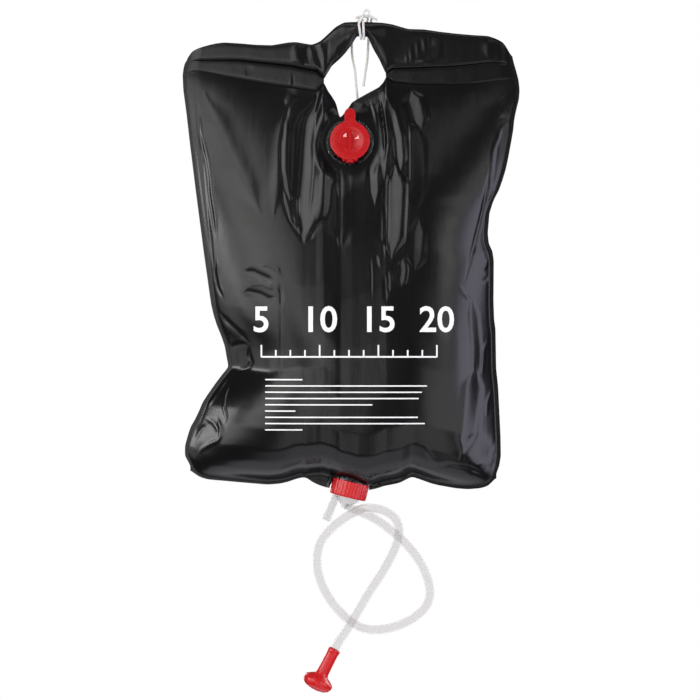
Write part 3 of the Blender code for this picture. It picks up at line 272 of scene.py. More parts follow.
# Creases: half width in picture steps, ridge and step in millimetres, then the line's picture places. A ridge
# below zero is a groove, and a step above zero is higher on the right of a line that runs down.
FRONT_CREASES = (
    (15.5, 0, 6, (321, 94), (316, 120), (314, 148), (312.5, 178), (310, 208), (306.5, 230), (304, 240)),
    (1.7, -0.55, 0, (318, 108), (315.5, 125), (313.2, 146), (313.8, 170), (311.5, 200), (309, 222)),
    (2.8, 0, 1.1, (312, 96), (299, 101), (290, 108), (286, 125), (284.5, 147), (284.3, 170), (287, 190),
     (291.5, 204), (296, 218)),
    (1.6, -0.7, 0, (281.5, 124), (280.8, 150), (281.2, 178), (284.5, 204), (290, 222), (297, 233)),
    (1.4, -0.6, 0, (298.8, 196), (298.2, 215), (298, 234)),
    (1.5, -0.8, 0, (290, 222), (297, 232), (304, 240), (311, 238), (317, 229)),
    (3, 0, 1, (294, 196), (294.5, 212), (297, 228)),
    (1.5, 0.5, 0.5, (322, 94), (318.5, 104), (315, 116)),
    (6, 0.8, 0.9, (289, 86), (290, 96), (286, 106)),
    (10, 1.5, 0, (205, 95), (232, 155), (260, 212)),
    (6, 1, 0, (286, 110), (281, 165), (274, 215)),
    (2.4, 0, 1.7, (198.5, 118), (200.5, 133), (204.5, 150), (207, 160), (209.2, 175), (211, 196), (214, 215),
     (215.8, 231), (217, 246)),
    (2.2, 0, 1.4, (217.5, 258), (216.5, 272), (219, 286), (225, 300)),
    (2.4, -1, 0, (196, 88), (198, 115), (200, 140), (203, 165), (205.5, 192), (208.5, 222), (212, 250),
     (215, 280)),
    (1.8, 0.8, 0, (190.5, 85), (192.5, 110), (195, 140), (198, 170), (202, 200), (206, 230), (210, 262)),
    (1.6, 0, 0.7, (380, 96), (383.5, 115), (386.5, 134), (388, 152)),
    (1.4, -2.4, 0, (379.5, 100), (382, 118), (384, 136), (385, 158)),
    (5.2, 0, 2.3, (385.5, 94), (393, 116), (398.5, 138), (400, 160), (400, 178)),
    (11, 0, 4.8, (395, 166), (396, 190), (395.5, 210), (394, 232), (391, 258)),
    (2.2, 0, 0.9, (369.5, 98), (374, 117), (376.5, 136), (377, 150)),
    (5.5, 0, 2.1, (375, 146), (373.5, 172), (374.5, 206)),
    (7, 1.7, 0, (342, 168), (342, 205), (342, 245)),
    (2.2, 0, 0.8, (383, 196), (384.3, 225), (384, 262)),
    (1.5, -0.7, 0, (388, 158), (387.5, 200), (387, 250)),
    (9, 0, -0.9, (415, 124), (416.5, 165), (415, 212)),
    (9.5, 0, 3, (411, 91), (416, 108), (421, 130)),
    (8.2, 0, -1.7, (418.5, 220), (417, 245), (414.5, 272)),
    (1.8, -0.8, 0, (407, 110), (408.5, 150), (408, 200), (405, 250)),
    (4.5, 0, 1.7, (402, 258), (403, 272), (400.5, 288)),
    (2.4, 0, 0.9, (388, 270), (389.5, 280), (389, 294)),
    (2.4, 0, 0.9, (377, 256), (379, 268)),
    (1.5, 0, 0.6, (371, 256), (372, 275), (372, 300)),
    (1.6, -0.7, 0, (384.5, 276), (385.5, 304)),
    (1.6, -0.6, 0, (396, 262), (394.5, 284)),
    (1.9, -1, 0, (492, 156), (488, 182), (482, 212), (473, 248), (464, 282)),
    (3.2, -1.3, 0, (243, 272), (254, 273), (267, 279), (277, 283)),
    (1.8, 0.5, 0, (260, 266), (268, 264.5), (278, 270), (282, 277)),
    (2.8, -1.1, 0, (242, 295), (250, 292.5), (261, 295), (269, 299.5), (278, 298)),
    (1.6, 0.5, 0, (247, 285), (262, 284), (276, 290)),
    (1.6, -0.7, 0, (279, 283), (282, 293), (281.5, 307)),
    (1.5, -0.3, -0.3, (281, 307), (281, 345), (281, 375)),
    (2.2, -1.6, 0, (219, 312), (228, 322), (237, 330), (243, 336), (250, 343)),
    (1.8, -1, 0, (230, 348), (237, 345), (250, 343)),
    (2, -1.2, 0, (250, 346), (249.5, 355), (252, 362), (250, 366), (245, 370), (235, 371.5)),
    (1.3, 0.7, 0, (221.5, 330), (227, 349), (230, 364)),
    (1.5, 1, 0, (230, 372), (219, 391), (205, 409)),
    (1.5, 1.1, 0, (230.5, 380), (225, 396), (224, 407), (227, 418), (224.5, 423)),
    (1.7, 1.2, 0, (217.5, 415), (221, 427), (221, 436), (218.5, 440), (210.5, 443.5), (202, 449),
     (197, 456)),
    (1.6, -1, 0, (205.5, 418), (213.7, 422), (217.8, 428), (219.3, 434)),
    (1.3, 0.8, 0, (207, 424), (201, 430), (196, 439)),
    (1.5, 0.8, 0, (458, 286), (463, 293), (470, 301)),
    (1.6, -0.8, 0, (492, 276), (483, 281), (467, 283.5)),
    (1.5, 0.9, 0, (491, 256), (486, 265), (481, 272)),
    (5, 0, -0.9, (471, 296), (474, 320), (476, 350), (476, 380)),
    (1.5, 0.7, 0, (489, 337), (483.5, 350), (481.5, 377)),
    (1.5, 0.6, 0, (492, 388), (487, 403), (486, 418)),
    (9, 0, -1.9, (474, 366), (472, 396), (468, 428), (461, 458)),
    (14, 0, -1.6, (462, 440), (474, 448), (488, 462)),
    (2.5, -1, 0, (432, 466), (450, 464), (469, 466.5), (486, 476)),
    (2.5, 0.9, 0, (424, 446), (430, 455), (436, 463)),
    (1.8, 0.6, 0, (514, 87), (504, 99), (497, 106)),
    (1.4, 0.6, 0, (518, 90), (512.5, 103), (511.5, 113), (513, 120)),
    (2.5, 0.8, 0, (497, 116), (504, 113), (511, 117)),
    (1.5, 1, 0, (513, 122), (506, 126), (500.5, 130), (497.5, 140), (494, 152)),
    (1.4, 0.7, 0, (508, 128), (507, 142), (504, 155)),
    (3, 0, -1, (497, 135), (494, 160), (490, 190)),
    (1.6, 0.7, 0, (402.7, 63.3), (411.4, 55), (420, 46), (429, 38.6), (434, 34)),
    (8, 0, 1, (440, 40), (432, 50), (412, 62)),
    (5, 0.8, 0, (488, 38), (488, 56)),
    (1, 0.5, 0, (387, 67), (393, 69.5), (398, 68.5), (403, 66.5)),
    (0.9, 0.4, 0, (386, 71), (396, 71.3)),
    (1.3, 0.6, 0, (374, 44), (379, 54), (385, 64)),
    (1.4, -0.6, 0, (316.5, 47), (320.5, 61), (322, 69)),
    (1.6, -0.6, 0, (329.5, 44), (327, 55), (325, 67)),
    (1.8, -0.8, 0, (336, 57), (343, 47), (350, 39)),
    (1.5, 0.5, 0, (338, 60), (346, 50), (352, 42)),
    (8, 0, -1.2, (300, 42), (303, 66)),
    (5, 0, 1.2, (316, 40), (320, 55), (324, 68)),
    (2, 0, -0.9, (292.5, 76), (291.5, 88)),
    (2.5, -0.5, 0, (252, 66), (246, 75)),
    (1.2, 0.5, 0, (326, 114), (337, 110)),
    (1.4, 0.5, 0, (374, 92), (364, 103), (358, 113)),
    (1.2, 0.4, 0, (380, 97), (370, 108), (365, 118)),
)
BACK_CREASES = (
    (6, 0, 1.9, (316, 98), (309, 140), (308, 190), (306, 235)),
    (3, 0, 1, (323, 96), (320, 140), (320, 190), (312, 235)),
    (5, 0, 1.6, (385, 98), (396, 130), (400, 180), (396, 240)),
    (3.5, 0, -1.2, (398, 100), (408, 150), (409, 210), (402, 262)),
    (1.6, 0, 0.6, (372, 105), (380, 150), (384, 215), (383, 255)),
    (2, 0.9, 0, (200, 130), (207, 170), (213, 215), (220, 285)),
    (1.8, -0.8, 0, (197, 85), (199, 150), (206, 215), (213, 262)),
    (7, 0, 2.6, (490, 120), (480, 165), (470, 210), (459, 265)),
    (1.6, 0.9, 0, (505, 125), (499, 150), (494, 190)),
    (2.2, -1.3, 0, (219, 314), (234, 330), (250, 345)),
    (1.8, 1, 0, (231, 372), (222, 390), (212, 408)),
    (2, 1.1, 0, (228, 420), (218, 436), (202, 452)),
    (7, 0, -2.4, (472, 378), (468, 410), (460, 450)),
    (1.6, 0.8, 0, (462, 284), (475, 278), (491, 276)),
    (3, 0.7, 0, (250, 250), (262, 300), (268, 360)),
    (4, 0.8, 0, (430, 250), (424, 320), (420, 380)),
)


def bag_x(share):
    """How far right a share across the bag is, in metres."""
    return GRIP_X + (share - GRIP_SHARE) * BAG_WIDTH


def bag_z(share):
    """How high a share down the bag is, in metres."""
    return BAG_TOP - share * BAG_HEIGHT


def eased(share):
    """A share from 0 to 1 with level ends: 3 s ** 2 - 2 s ** 3."""
    return share * share * (3 - 2 * share)


def softened(edge, place, reach):
    """An edge's value at each place, averaged over a short reach on both sides, so that it has no corners."""
    places, values = edge.T
    shifts = np.linspace(-reach, reach, 5)
    weights = np.array((1, 3, 4, 3, 1)) / 12
    return sum(weight * np.interp(place + shift, places, values) for shift, weight in zip(shifts, weights))


def crease_height(x, z, half_width, ridge, step, *line):
    """The height of a crease beside a line, which narrows and sinks at both ends of it.

    With t the distance to the right of the line over the half width, it is ridge exp(-t ** 2)
    + 0.91 step t exp(-t ** 4), so that a step has an even slope over the middle of its width.
    """
    points = np.array([picture_place(column, row) for column, row in line])
    runs = np.diff(points, axis=0)
    lengths = np.hypot(runs[:, 0], runs[:, 1])
    starts = np.concatenate(([0], np.cumsum(lengths)))
    nearest = np.full(x.shape, 1e3)
    travelled = np.zeros(x.shape)
    rightward = np.zeros(x.shape)
    for point, run, length, start in zip(points, runs, lengths, starts):
        along = np.clip(((x - point[0]) * run[0] + (z - point[1]) * run[1]) / length ** 2, 0, 1)
        off_x, off_z = x - point[0] - along * run[0], z - point[1] - along * run[1]
        away = np.hypot(off_x, off_z)
        closer = away < nearest
        travelled = np.where(closer, start + along * length, travelled)
        rightward = np.where(closer, (off_z * run[0] - off_x * run[1]) / length, rightward)
        nearest = np.minimum(nearest, away)
    share = travelled / starts[-1]
    end = eased(np.clip(np.minimum(share, 1 - share) / CREASE_END_SHARE, 0, 1))
    taper = CREASE_END_WIDTH + (1 - CREASE_END_WIDTH) * end
    reach = half_width * PICTURE_STEP * taper
    away = nearest / reach
    slope = STEP_SCALE * step * rightward / reach * np.exp(-away ** 4)
    return MM * taper * (ridge * np.exp(-away ** 2) + slope)


def round_spout(x, z, depth, below):
    """Lead the film round the spout: a circle with flat flanks at 45 degrees, ended above the nut."""
    way = (x - SPOUT_PLACE[0]) * math.cos(OUTLET_TILT) - (z - SPOUT_PLACE[2]) * math.sin(OUTLET_TILT)
    along = -(x - SPOUT_PLACE[0]) * math.sin(OUTLET_TILT) - (z - SPOUT_PLACE[2]) * math.cos(OUTLET_TILT)
    circle = np.sqrt(np.clip(SPOUT_ROOM ** 2 - way ** 2, 0, None))
    flank = np.clip(SPOUT_ROOM * math.sqrt(2) - np.abs(way), 0, None)
    tent = np.where(np.abs(way) < SPOUT_ROOM / math.sqrt(2), circle, flank)
    start = eased(np.clip((along - SPOUT_START) / SPOUT_LEAD + 1, 0, 1))
    depth = np.where(below, np.maximum(depth, tent * start), depth)
    past = np.where(below & (np.abs(way) < NUT_ROOM), np.clip(along - FILM_END, 0, None), 0)
    return x + past * math.sin(OUTLET_TILT), z + past * math.cos(OUTLET_TILT), depth


def film_surface(front):
    """A sheet as arrays of x, y, z: rows run down through the sleeve, the weld band, the chamber and the hem.

    Each row runs from rim to rim. The sleeve and the band are flat between their welds, as
    1 - |2 s - 1| ** 12 down, and rounder at the bunched grip. The chamber's depth is a swell down times
    1 - |2 a - 1| ** 3.2 across, with a the share across, plus the creases. Round the filler it is flat.
    """
    near_rim = np.array((0, 0.003, 0.006, 0.009, 0.0125))
    columns = np.concatenate((
        -0.5 + near_rim, np.linspace(-0.484, -0.230, 80)[:-1], np.linspace(-0.230, HOLE_LEFT, 60)[:-1],
        np.linspace(HOLE_LEFT, HOLE_RIGHT, 72), np.linspace(HOLE_RIGHT, 0.225, 50)[1:],
        np.linspace(0.225, 0.484, 80)[1:], (0.5 - near_rim)[::-1]))
    flat_shares = (0, 0.02, 0.045, 0.08, 0.13, 0.22, 0.34, 0.5, 0.66, 0.78, 0.87, 0.92, 0.955, 0.98)
    long_shares = np.concatenate((np.linspace(0, 0.06, 15)[:-1], np.linspace(0.06, 0.94, 200)[:-1],
                                  np.linspace(0.94, 1, 20)))
    zones = [(zone, share) for zone, shares in (("sleeve", flat_shares), ("band", flat_shares),
                                                ("chamber", long_shares), ("hem", (0.35, 0.7, 1.0)))
             for share in shares]
    sides = ((LEFT_EDGE, (LEFT_EDGE[0, 0], UPPER_WELD[0, 1], LOWER_WELD[0, 1], LEFT_EDGE[-1, 0])),
             (RIGHT_EDGE, (RIGHT_EDGE[0, 0], UPPER_WELD[-1, 1], LOWER_WELD[-1, 1], RIGHT_EDGE[-1, 0])))
    across, down, depth = [], [], []
    for zone, place in zones:
        number = {"sleeve": 0, "band": 1, "chamber": 2, "hem": 2}[zone]
        share = 1.0 if zone == "hem" else place
        left, right = (softened(edge, marks[number] + (marks[number + 1] - marks[number]) * share,
                                SIDE_SOFTENING) for edge, marks in sides)
        draw_in = np.where(columns < 0, left + 0.5, right - 0.5)
        row = columns + draw_in * (2 * columns) ** 2
        top = softened(TOP_EDGE, row, TOP_SOFTENING)
        upper = softened(UPPER_WELD, row, WELD_SOFTENING)
        lower = softened(LOWER_WELD, row, WELD_SOFTENING)
        bottom = softened(BOTTOM_EDGE, row, BOTTOM_SOFTENING)
        hem = RIM_WIDTH / BAG_HEIGHT * softened(HEM, row, SIDE_SOFTENING)
        rim = RIM_WIDTH / BAG_WIDTH
        a = np.clip((row - left - rim) / (right - left - 2 * rim), 0, 1)
        side = 1 - np.abs(2 * a - 1) ** SWELL_POWER
        at_rim = eased(np.clip(np.minimum(a, 1 - a) / RIM_LEAD, 0, 1))
        at_rim = at_rim * (RIM_SHARE + 4 * (1 - RIM_SHARE) * a * (1 - a))
        plateau = 1 - abs(2 * place - 1) ** FLAT_POWER
        if zone == "sleeve":
            bunched = np.exp(-((row - GRIP_SHARE) / GRIP_REACH) ** 2)
            rounder = GRIP_DEPTH * abs(math.sin(math.pi * place)) ** GRIP_POWER
            down.append(top + (upper - top) * place)
            depth.append((SLEEVE_DEPTH * plateau * (1 - bunched) + rounder * bunched) * at_rim)
        elif zone == "band":
            down.append(upper + (lower - upper) * place)
            depth.append(BAND_DEPTH * plateau * at_rim)
        elif zone == "chamber":
            down.append(lower + (bottom - hem - lower) * place)
            swell = softened(SWELL, place, SWELL_SOFTENING * (place > 0.02))
            depth.append((FRONT_DEPTH if front else BACK_DEPTH) * swell * side)
        else:
            down.append(bottom - hem * (1 - place))
            depth.append(0 * row)
        across.append(row)
    across, down, depth = np.array(across), np.array(down), np.array(depth)
    x, z = bag_x(across), bag_z(down)
    waist = np.exp(-((across - WAIST[0]) / WAIST_SIZE[0]) ** 2 - ((down - WAIST[1]) / WAIST_SIZE[1]) ** 2)
    depth = depth * (1 - WAIST_SHARE * waist)
    room = np.clip(depth / CREASE_ROOM, 0, 1)
    folds = sum(crease_height(x, z, *crease) for crease in (FRONT_CREASES if front else BACK_CREASES))
    folds = np.where(folds > 0, folds, np.maximum(folds, -GROOVE_SHARE * depth))
    depth = depth + folds * room
    below = np.array([zone in ("chamber", "hem") and place > 0 for zone, place in zones])[:, None]
    if front:
        away_x, away_z = x - FILLER_PLACE[0], z - FILLER_PLACE[2]
        plane = SEAT_DEPTH - away_z * math.tan(FILLER_TILT)
        seated = eased(np.clip((SEAT_REACH - np.hypot(away_x, away_z)) / SEAT_EASE, 0, 1))
        depth = np.where(below, depth * (1 - seated) + plane * seated, depth)
    x, z, depth = round_spout(x, z, depth, below & (z < SPOUT_PLACE[2] + SPOUT_ABOVE))
    skin = FILM_SKIN + SWOLLEN_SKIN * np.clip(depth / SKIN_ROOM, 0, 1)
    y = (depth + skin) * (-1 if front else 1)
    return zones, columns, x, y, z


def film_sheet(name, front):
    """A sheet's grid as a mesh, open in the hand hole, with its free edges turned in to the welded plane."""
    zones, columns, x, y, z = film_surface(front)
    rows, count = x.shape
    number = np.arange(rows * count).reshape(rows, count)
    corners = np.stack((number[:-1, :-1], number[1:, :-1], number[1:, 1:], number[:-1, 1:]), axis=-1)
    banded = np.array([zone == "band" for zone, place in zones[:-1]])[:, None]
    holed = ((columns[:-1] >= HOLE_LEFT - 1e-9) & (columns[1:] <= HOLE_RIGHT + 1e-9))[None, :]
    faces = corners[~(banded & holed)]
    if not front:
        faces = faces[:, ::-1]
    mesh = bpy.data.meshes.new(name)
    mesh.from_pydata(np.stack((x, y, z), axis=-1).reshape(-1, 3).tolist(), [], faces.tolist())
    built = bmesh.new()
    built.from_mesh(mesh)
    bmesh.ops.delete(built, geom=[v for v in built.verts if not v.link_faces], context="VERTS")
    rim = bmesh.ops.extrude_edge_only(built, edges=[e for e in built.edges if len(e.link_faces) == 1])
    for part in rim["geom"]:
        if isinstance(part, bmesh.types.BMVert):
            part.co.y = -WELD_GAP if front else WELD_GAP
    built.to_mesh(mesh)
    built.free()
    mesh.shade_smooth()
    mesh.set_sharp_from_angle(angle=FILM_SMOOTH_BELOW)
    return shown(name, mesh)


class Value:
    """A number that changes over a surface. The signs +, - and * on either side of it add Math nodes."""

    def __init__(self, finish, socket):
        self.finish = finish
        self.socket = socket

    def math(self, operation, first, second=0.0, clamp=False):
        settings = {"operation": operation, "use_clamp": clamp}
        return self.finish.node("ShaderNodeMath", settings, {0: first, 1: second})

    def __add__(self, other):
        return self.math("ADD", self, other)

    def __radd__(self, other):
        return self.math("ADD", other, self)

    def __sub__(self, other):
        return self.math("SUBTRACT", self, other)

    def __rsub__(self, other):
        return self.math("SUBTRACT", other, self)

    def __mul__(self, other):
        return self.math("MULTIPLY", self, other)

    def __rmul__(self, other):
        return self.math("MULTIPLY", other, self)

    def clamped(self):
        return self.math("ADD", self, 0.0, clamp=True)


class Finish:
    """A material round one Principled shader, to which nodes are added one by one."""

    def __init__(self, name, colour, roughness, **settled):
        self.material = bpy.data.materials.new(name)
        self.material.use_nodes = True
        self.tree = self.material.node_tree
        self.shader = self.tree.nodes["Principled BSDF"]
        self.put("Base Color", (*colour, 1))
        self.put("Roughness", roughness)
        for socket, value in settled.items():
            self.put(socket.replace("_", " "), value)

    def put(self, socket, value):
        """Set one of the Principled shader's sockets, or lead a value into it."""
        self.lead(value, self.shader.inputs[socket])

    def lead(self, value, socket):
        """Link a changing value to a socket, or set a plain one on it."""
        if isinstance(value, Value):
            self.tree.links.new(value.socket, socket)
        else:
            socket.default_value = value

    def node(self, kind, settings=None, inputs=None, output=0):
        """Add a node with its settings and inputs, and return one of its outputs."""
        made = self.tree.nodes.new(kind)
        for setting, value in (settings or {}).items():
            setattr(made, setting, value)
        for key, value in (inputs or {}).items():
            self.lead(value, made.inputs[key])
        return Value(self, made.outputs[output])

    def stretched_place(self, stretch):
        """Object coordinates, scaled along each axis."""
        place = self.node("ShaderNodeTexCoord", output=3)
        return self.node("ShaderNodeMapping", None, {"Vector": place, "Scale": stretch})

    def noise(self, scale, detail, stretch=(1, 1, 1)):
        """A soft noise from 0 to 1, with its grain stretched."""
        return self.node("ShaderNodeTexNoise", None, {"Vector": self.stretched_place(stretch), "Scale": scale,
                                                      "Detail": detail})

    def blend(self, share, first, second):
        """A colour between two colours."""
        return self.node("ShaderNodeMix", {"data_type": "RGBA"}, {0: share, 6: first, 7: second}, output=2)

    def bump(self, height, distance):
        """Raise the surface by a height."""
        self.put("Normal", self.node("ShaderNodeBump", None, {"Height": height, "Distance": distance}))


def settle(piece, finish, body, node=None):
    """Give a piece its material and its body, and hide the CAD node that it stands for."""
    piece.data.materials.append(finish.material)
    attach(piece, body)
    if node:
        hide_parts(node)


film = Finish("black_pvc_film", (0.003, 0.003, 0.0033), 0.24, Specular_IOR_Level=0.27)
scuffs = film.noise(22, 4, (1, 1, 0.6))
dust = film.noise(5, 2)
film.put("Base Color", film.blend((dust * 1.6 - 0.5).clamped(), (0.0018, 0.0018, 0.0020, 1),
                                  (0.0042, 0.0042, 0.0046, 1)))
film.put("Roughness", scuffs * 0.08 + 0.17 + dust * 0.04)
grain = film.noise(900, 2)
ripple = film.noise(34, 3, (1, 1, 0.35))
film.bump(grain * 0.04 + ripple * 0.35, 0.0011)

front_film = film_sheet("front_film", True)
settle(front_film, film, "bag", "front_panel")

# The back sheet: the same black film, cut like the front sheet and welded to it, a little less swollen, with
# its own gathers behind the grip and no print.
back_film = film_sheet("back_film", False)
settle(back_film, film, "bag", "back_panel")

# The print: white ink on the front sheet, a plain scale of numbers with its ticks, and thin ruled lines under
# it. The ink follows the film's creases.
INK_PROUD = 0.00025
INK_STEP = 0.0025
DIGIT_SHARE = 0.7
DIGIT_WEIGHT = 0.014
SCALE_LEFT = 262
SCALE_RIGHT = 436
NUMBER_ROW = 321
NUMBER_HEIGHT = 25
NUMBER_STEP = 58
TICK_HALF_WIDTH = 0.8
LINE_LEFT = 266
LINE_TOP = 378.7
LINE_HEIGHT = 1.3
LINE_STEP = 6.2


def printed_number(digits, column, row, height):
    """A number as a flat mesh in the plane of the rim, with its middle at a picture place."""
    curve = bpy.data.curves.new("number", "FONT")
    curve.body = digits
    curve.align_x = "CENTER"
    curve.align_y = "CENTER"
    curve.size = height * PICTURE_STEP / DIGIT_SHARE
    curve.offset = curve.size * DIGIT_WEIGHT
    curve.resolution_u = 4
    stand = shown("number", curve)
    bpy.context.view_layer.update()
    flat = bpy.data.meshes.new_from_object(stand)
    bpy.data.objects.remove(stand)
    x, z = picture_place(column, row)
    flat.transform(Matrix.Translation((x, 0, z)) @ Matrix.Rotation(math.pi / 2, 4, "X"))
    return flat


def printed_bar(left, high, right, low):
    """A bar between two picture columns and two picture rows, as a flat mesh in the plane of the rim."""
    corners = [picture_place(*place) for place in ((left, low), (right, low), (right, high), (left, high))]
    flat = bpy.data.meshes.new("bar")
    flat.from_pydata([(x, 0, z) for x, z in corners], [], [(0, 1, 2, 3)])
    return flat


def film_print(name, flats):
    """Flat meshes cut in steps and laid on the front sheet, each point straight back from where it was."""
    built = bmesh.new()
    for flat in flats:
        built.from_mesh(flat)
        bpy.data.meshes.remove(flat)
    places = np.array([vert.co for vert in built.verts])
    for axis, way in ((0, (1, 0, 0)), (2, (0, 0, 1))):
        for cut in np.arange(places[:, axis].min() + INK_STEP / 2, places[:, axis].max(), INK_STEP):
            bmesh.ops.bisect_plane(built, geom=built.verts[:] + built.edges[:] + built.faces[:],
                                   plane_co=tuple(np.array(way) * cut), plane_no=way)
    tree = BVHTree.FromPolygons([vert.co for vert in front_film.data.vertices],
                                [face.vertices for face in front_film.data.polygons])
    for vert in built.verts:
        place = tree.ray_cast((vert.co.x, -1.0, vert.co.z), (0, 1, 0))[0]
        vert.co.y = place.y - INK_PROUD
    bmesh.ops.recalc_face_normals(built, faces=built.faces)
    for face in built.faces:
        if face.normal.y > 0:
            face.normal_flip()
    laid = bpy.data.meshes.new(name)
    built.to_mesh(laid)
    built.free()
    laid.shade_smooth()
    return shown(name, laid)


scale_marks = [printed_number(digits, SCALE_LEFT + NUMBER_STEP * place, NUMBER_ROW, NUMBER_HEIGHT)
               for place, digits in enumerate(("5", "10", "15", "20"))]
scale_marks.append(printed_bar(SCALE_LEFT, 356, SCALE_RIGHT, 357.6))
for tick in range(13):
    column = SCALE_LEFT + NUMBER_STEP / 4 * tick
    high = 345 if tick % 4 == 0 else 350
    scale_marks.append(printed_bar(column - TICK_HALF_WIDTH, high, column + TICK_HALF_WIDTH, 357))
for line, right in enumerate((303, 426, 421, 418, 372, 296, 417, 424, 303)):
    high = LINE_TOP + LINE_STEP * line
    scale_marks.append(printed_bar(LINE_LEFT, high, right, high + LINE_HEIGHT))
ink = Finish("white_printing_ink", (0.78, 0.78, 0.77), 0.5)
ink.put("Roughness", ink.noise(300, 3) * 0.2 + 0.4)
scale_print = film_print("scale_print", scale_marks)
settle(scale_print, ink, "bag")

# The filler: a clear moulded flange with a neck that takes the cap, welded over a round hole in the front
# sheet. Its rim shows all round the cap.
FILLER_OUTWARD = (0, -math.cos(FILLER_TILT), math.sin(FILLER_TILT))
SMOOTH_BELOW = math.radians(38)
CORNER_SHARE = 0.42


def placed_axes(place, across, outward):
    """A 4 by 4 matrix whose columns are across, up, outward and the place."""
    across = np.array(across, float)
    outward = np.array(outward, float) / np.linalg.norm(outward)
    across = across - outward * (across @ outward)
    across = across / np.linalg.norm(across)
    axes = np.eye(4)
    axes[:3, 0] = across
    axes[:3, 1] = np.cross(outward, across)
    axes[:3, 2] = outward
    axes[:3, 3] = place
    return axes


def in_place(axes, points):
    """Points in a piece's own axes and in millimetres, as places in metres."""
    return points * MM @ axes[:3, :3].T + axes[:3, 3]


def rounded(outline, radius, closed=False, steps=4):
    """An outline whose corners are cut back by a radius, and bridged by an arc of a few steps.

    Where its two runs are short, a corner is cut back by no more than the corner share of them.
    """
    points = np.array(outline, float)
    count = len(points)
    result = []
    for number in range(count):
        if not closed and number in (0, count - 1):
            result.append(points[number])
            continue
        corner = points[number]
        runs = [points[(number + side) % count] - corner for side in (-1, 1)]
        lengths = [np.linalg.norm(run) for run in runs]
        reach = min(radius, CORNER_SHARE * lengths[0], CORNER_SHARE * lengths[1])
        start, end = (corner + run / length * reach for run, length in zip(runs, lengths))
        for share in np.linspace(0, 1, steps + 1):
            result.append((1 - share) ** 2 * start + 2 * share * (1 - share) * corner + share ** 2 * end)
    return np.array(result)


def grid_mesh(name, points, closed_profile=True):
    """A mesh from an array of rings, each a closed row of points, with the poles merged.

    With a closed profile, the last ring is joined to the first.
    """
    rings, sides = points.shape[:2]
    number = np.arange(rings * sides).reshape(rings, sides)
    number = np.concatenate((number, number[:, :1]), axis=1)
    if closed_profile:
        number = np.concatenate((number, number[:1]), axis=0)
    faces = np.stack((number[:-1, :-1], number[:-1, 1:], number[1:, 1:], number[1:, :-1]), axis=-1)
    faces = faces.reshape(-1, 4)
    mesh = bpy.data.meshes.new(name)
    mesh.from_pydata(points.reshape(-1, 3).tolist(), [], faces.tolist())
    built = bmesh.new()
    built.from_mesh(mesh)
    bmesh.ops.remove_doubles(built, verts=built.verts, dist=1e-6)
    bmesh.ops.dissolve_degenerate(built, edges=built.edges, dist=1e-7)
    bmesh.ops.recalc_face_normals(built, faces=built.faces)
    built.to_mesh(mesh)
    built.free()
    mesh.shade_smooth()
    mesh.set_sharp_from_angle(angle=SMOOTH_BELOW)
    return shown(name, mesh)


def turned(name, axes, outline, sides=96, ribs=0, rib_height=0.0, ribbed=None):
    """A turned piece: the outline's (radius, along) millimetres, carried round the axis.

    Where there are ribs, the radius grows by rib_height * (0.5 + 0.5 cos(ribs * angle)) ** 0.5 on the
    outline's points that lie further out than the ribbed radius.
    """
    outline = np.array(outline, float)
    angle = np.linspace(0, 2 * math.pi, sides, endpoint=False)
    radius = np.repeat(outline[:, :1], sides, axis=1)
    if ribs:
        swell = rib_height * (0.5 + 0.5 * np.cos(ribs * angle)) ** 0.5
        radius = radius + np.where(outline[:, :1] > ribbed, 1.0, 0.0) * swell[None, :]
    along = np.repeat(outline[:, 1:], sides, axis=1)
    local = np.stack((radius * np.cos(angle), radius * np.sin(angle), along), axis=-1)
    closed = not (outline[0, 0] == 0 and outline[-1, 0] == 0)
    return grid_mesh(name, in_place(axes, local), closed)


def joined(target, *others):
    """Move the faces of other pieces into one piece."""
    built = bmesh.new()
    built.from_mesh(target.data)
    for other in others:
        built.from_mesh(other.data)
        bpy.data.objects.remove(other)
    built.to_mesh(target.data)
    built.free()
    target.data.set_sharp_from_angle(angle=SMOOTH_BELOW)
    return target


filler_axes = placed_axes(FILLER_PLACE, (1, 0, 0), FILLER_OUTWARD)
clear = Finish("clear_moulded_plastic", (0.93, 0.94, 0.95), 0.08, Transmission_Weight=1.0, IOR=1.30,
               Specular_IOR_Level=0.5)
clear.put("Roughness", clear.noise(90, 3) * 0.02 + 0.05)

filler_flange = turned("filler_flange_clear", filler_axes, rounded(
    ((18.6, -4.0), (20.5, -4.0), (20.5, 0.3), (28.5, 0.3), (28.5, 1.3), (28.0, 1.7), (27.4, 1.3), (20.7, 1.1),
     (20.5, 8.0), (18.6, 8.0)), 0.3, closed=True))
settle(filler_flange, clear, "bag", "filler_flange")


# The cap: soft red plastic, pushed in the neck, with a grip rib between two pockets and a pull tab above. A
# ring round the neck holds its strap, whose fold under the cap is the hinge.
def red_finish(name, depth, specular):
    """Moulded red plastic with a faint cloud and a fine grain. Its depth scales its colour."""
    made = Finish(name, (depth, 0.016 * depth, 0.022 * depth), 0.28, Specular_IOR_Level=specular)
    made.put("Base Color", made.blend(made.noise(60, 3), (0.94 * depth, 0.014 * depth, 0.018 * depth, 1),
                                      (1.06 * depth, 0.020 * depth, 0.026 * depth, 1)))
    made.put("Roughness", made.noise(140, 3) * 0.10 + 0.22)
    made.bump(made.noise(420, 2), 0.00006)
    return made


def oblong(left, right, first, second):
    """The corners of a rectangle between two places across and two places up, in turn."""
    return (left, first), (right, first), (right, second), (left, second)


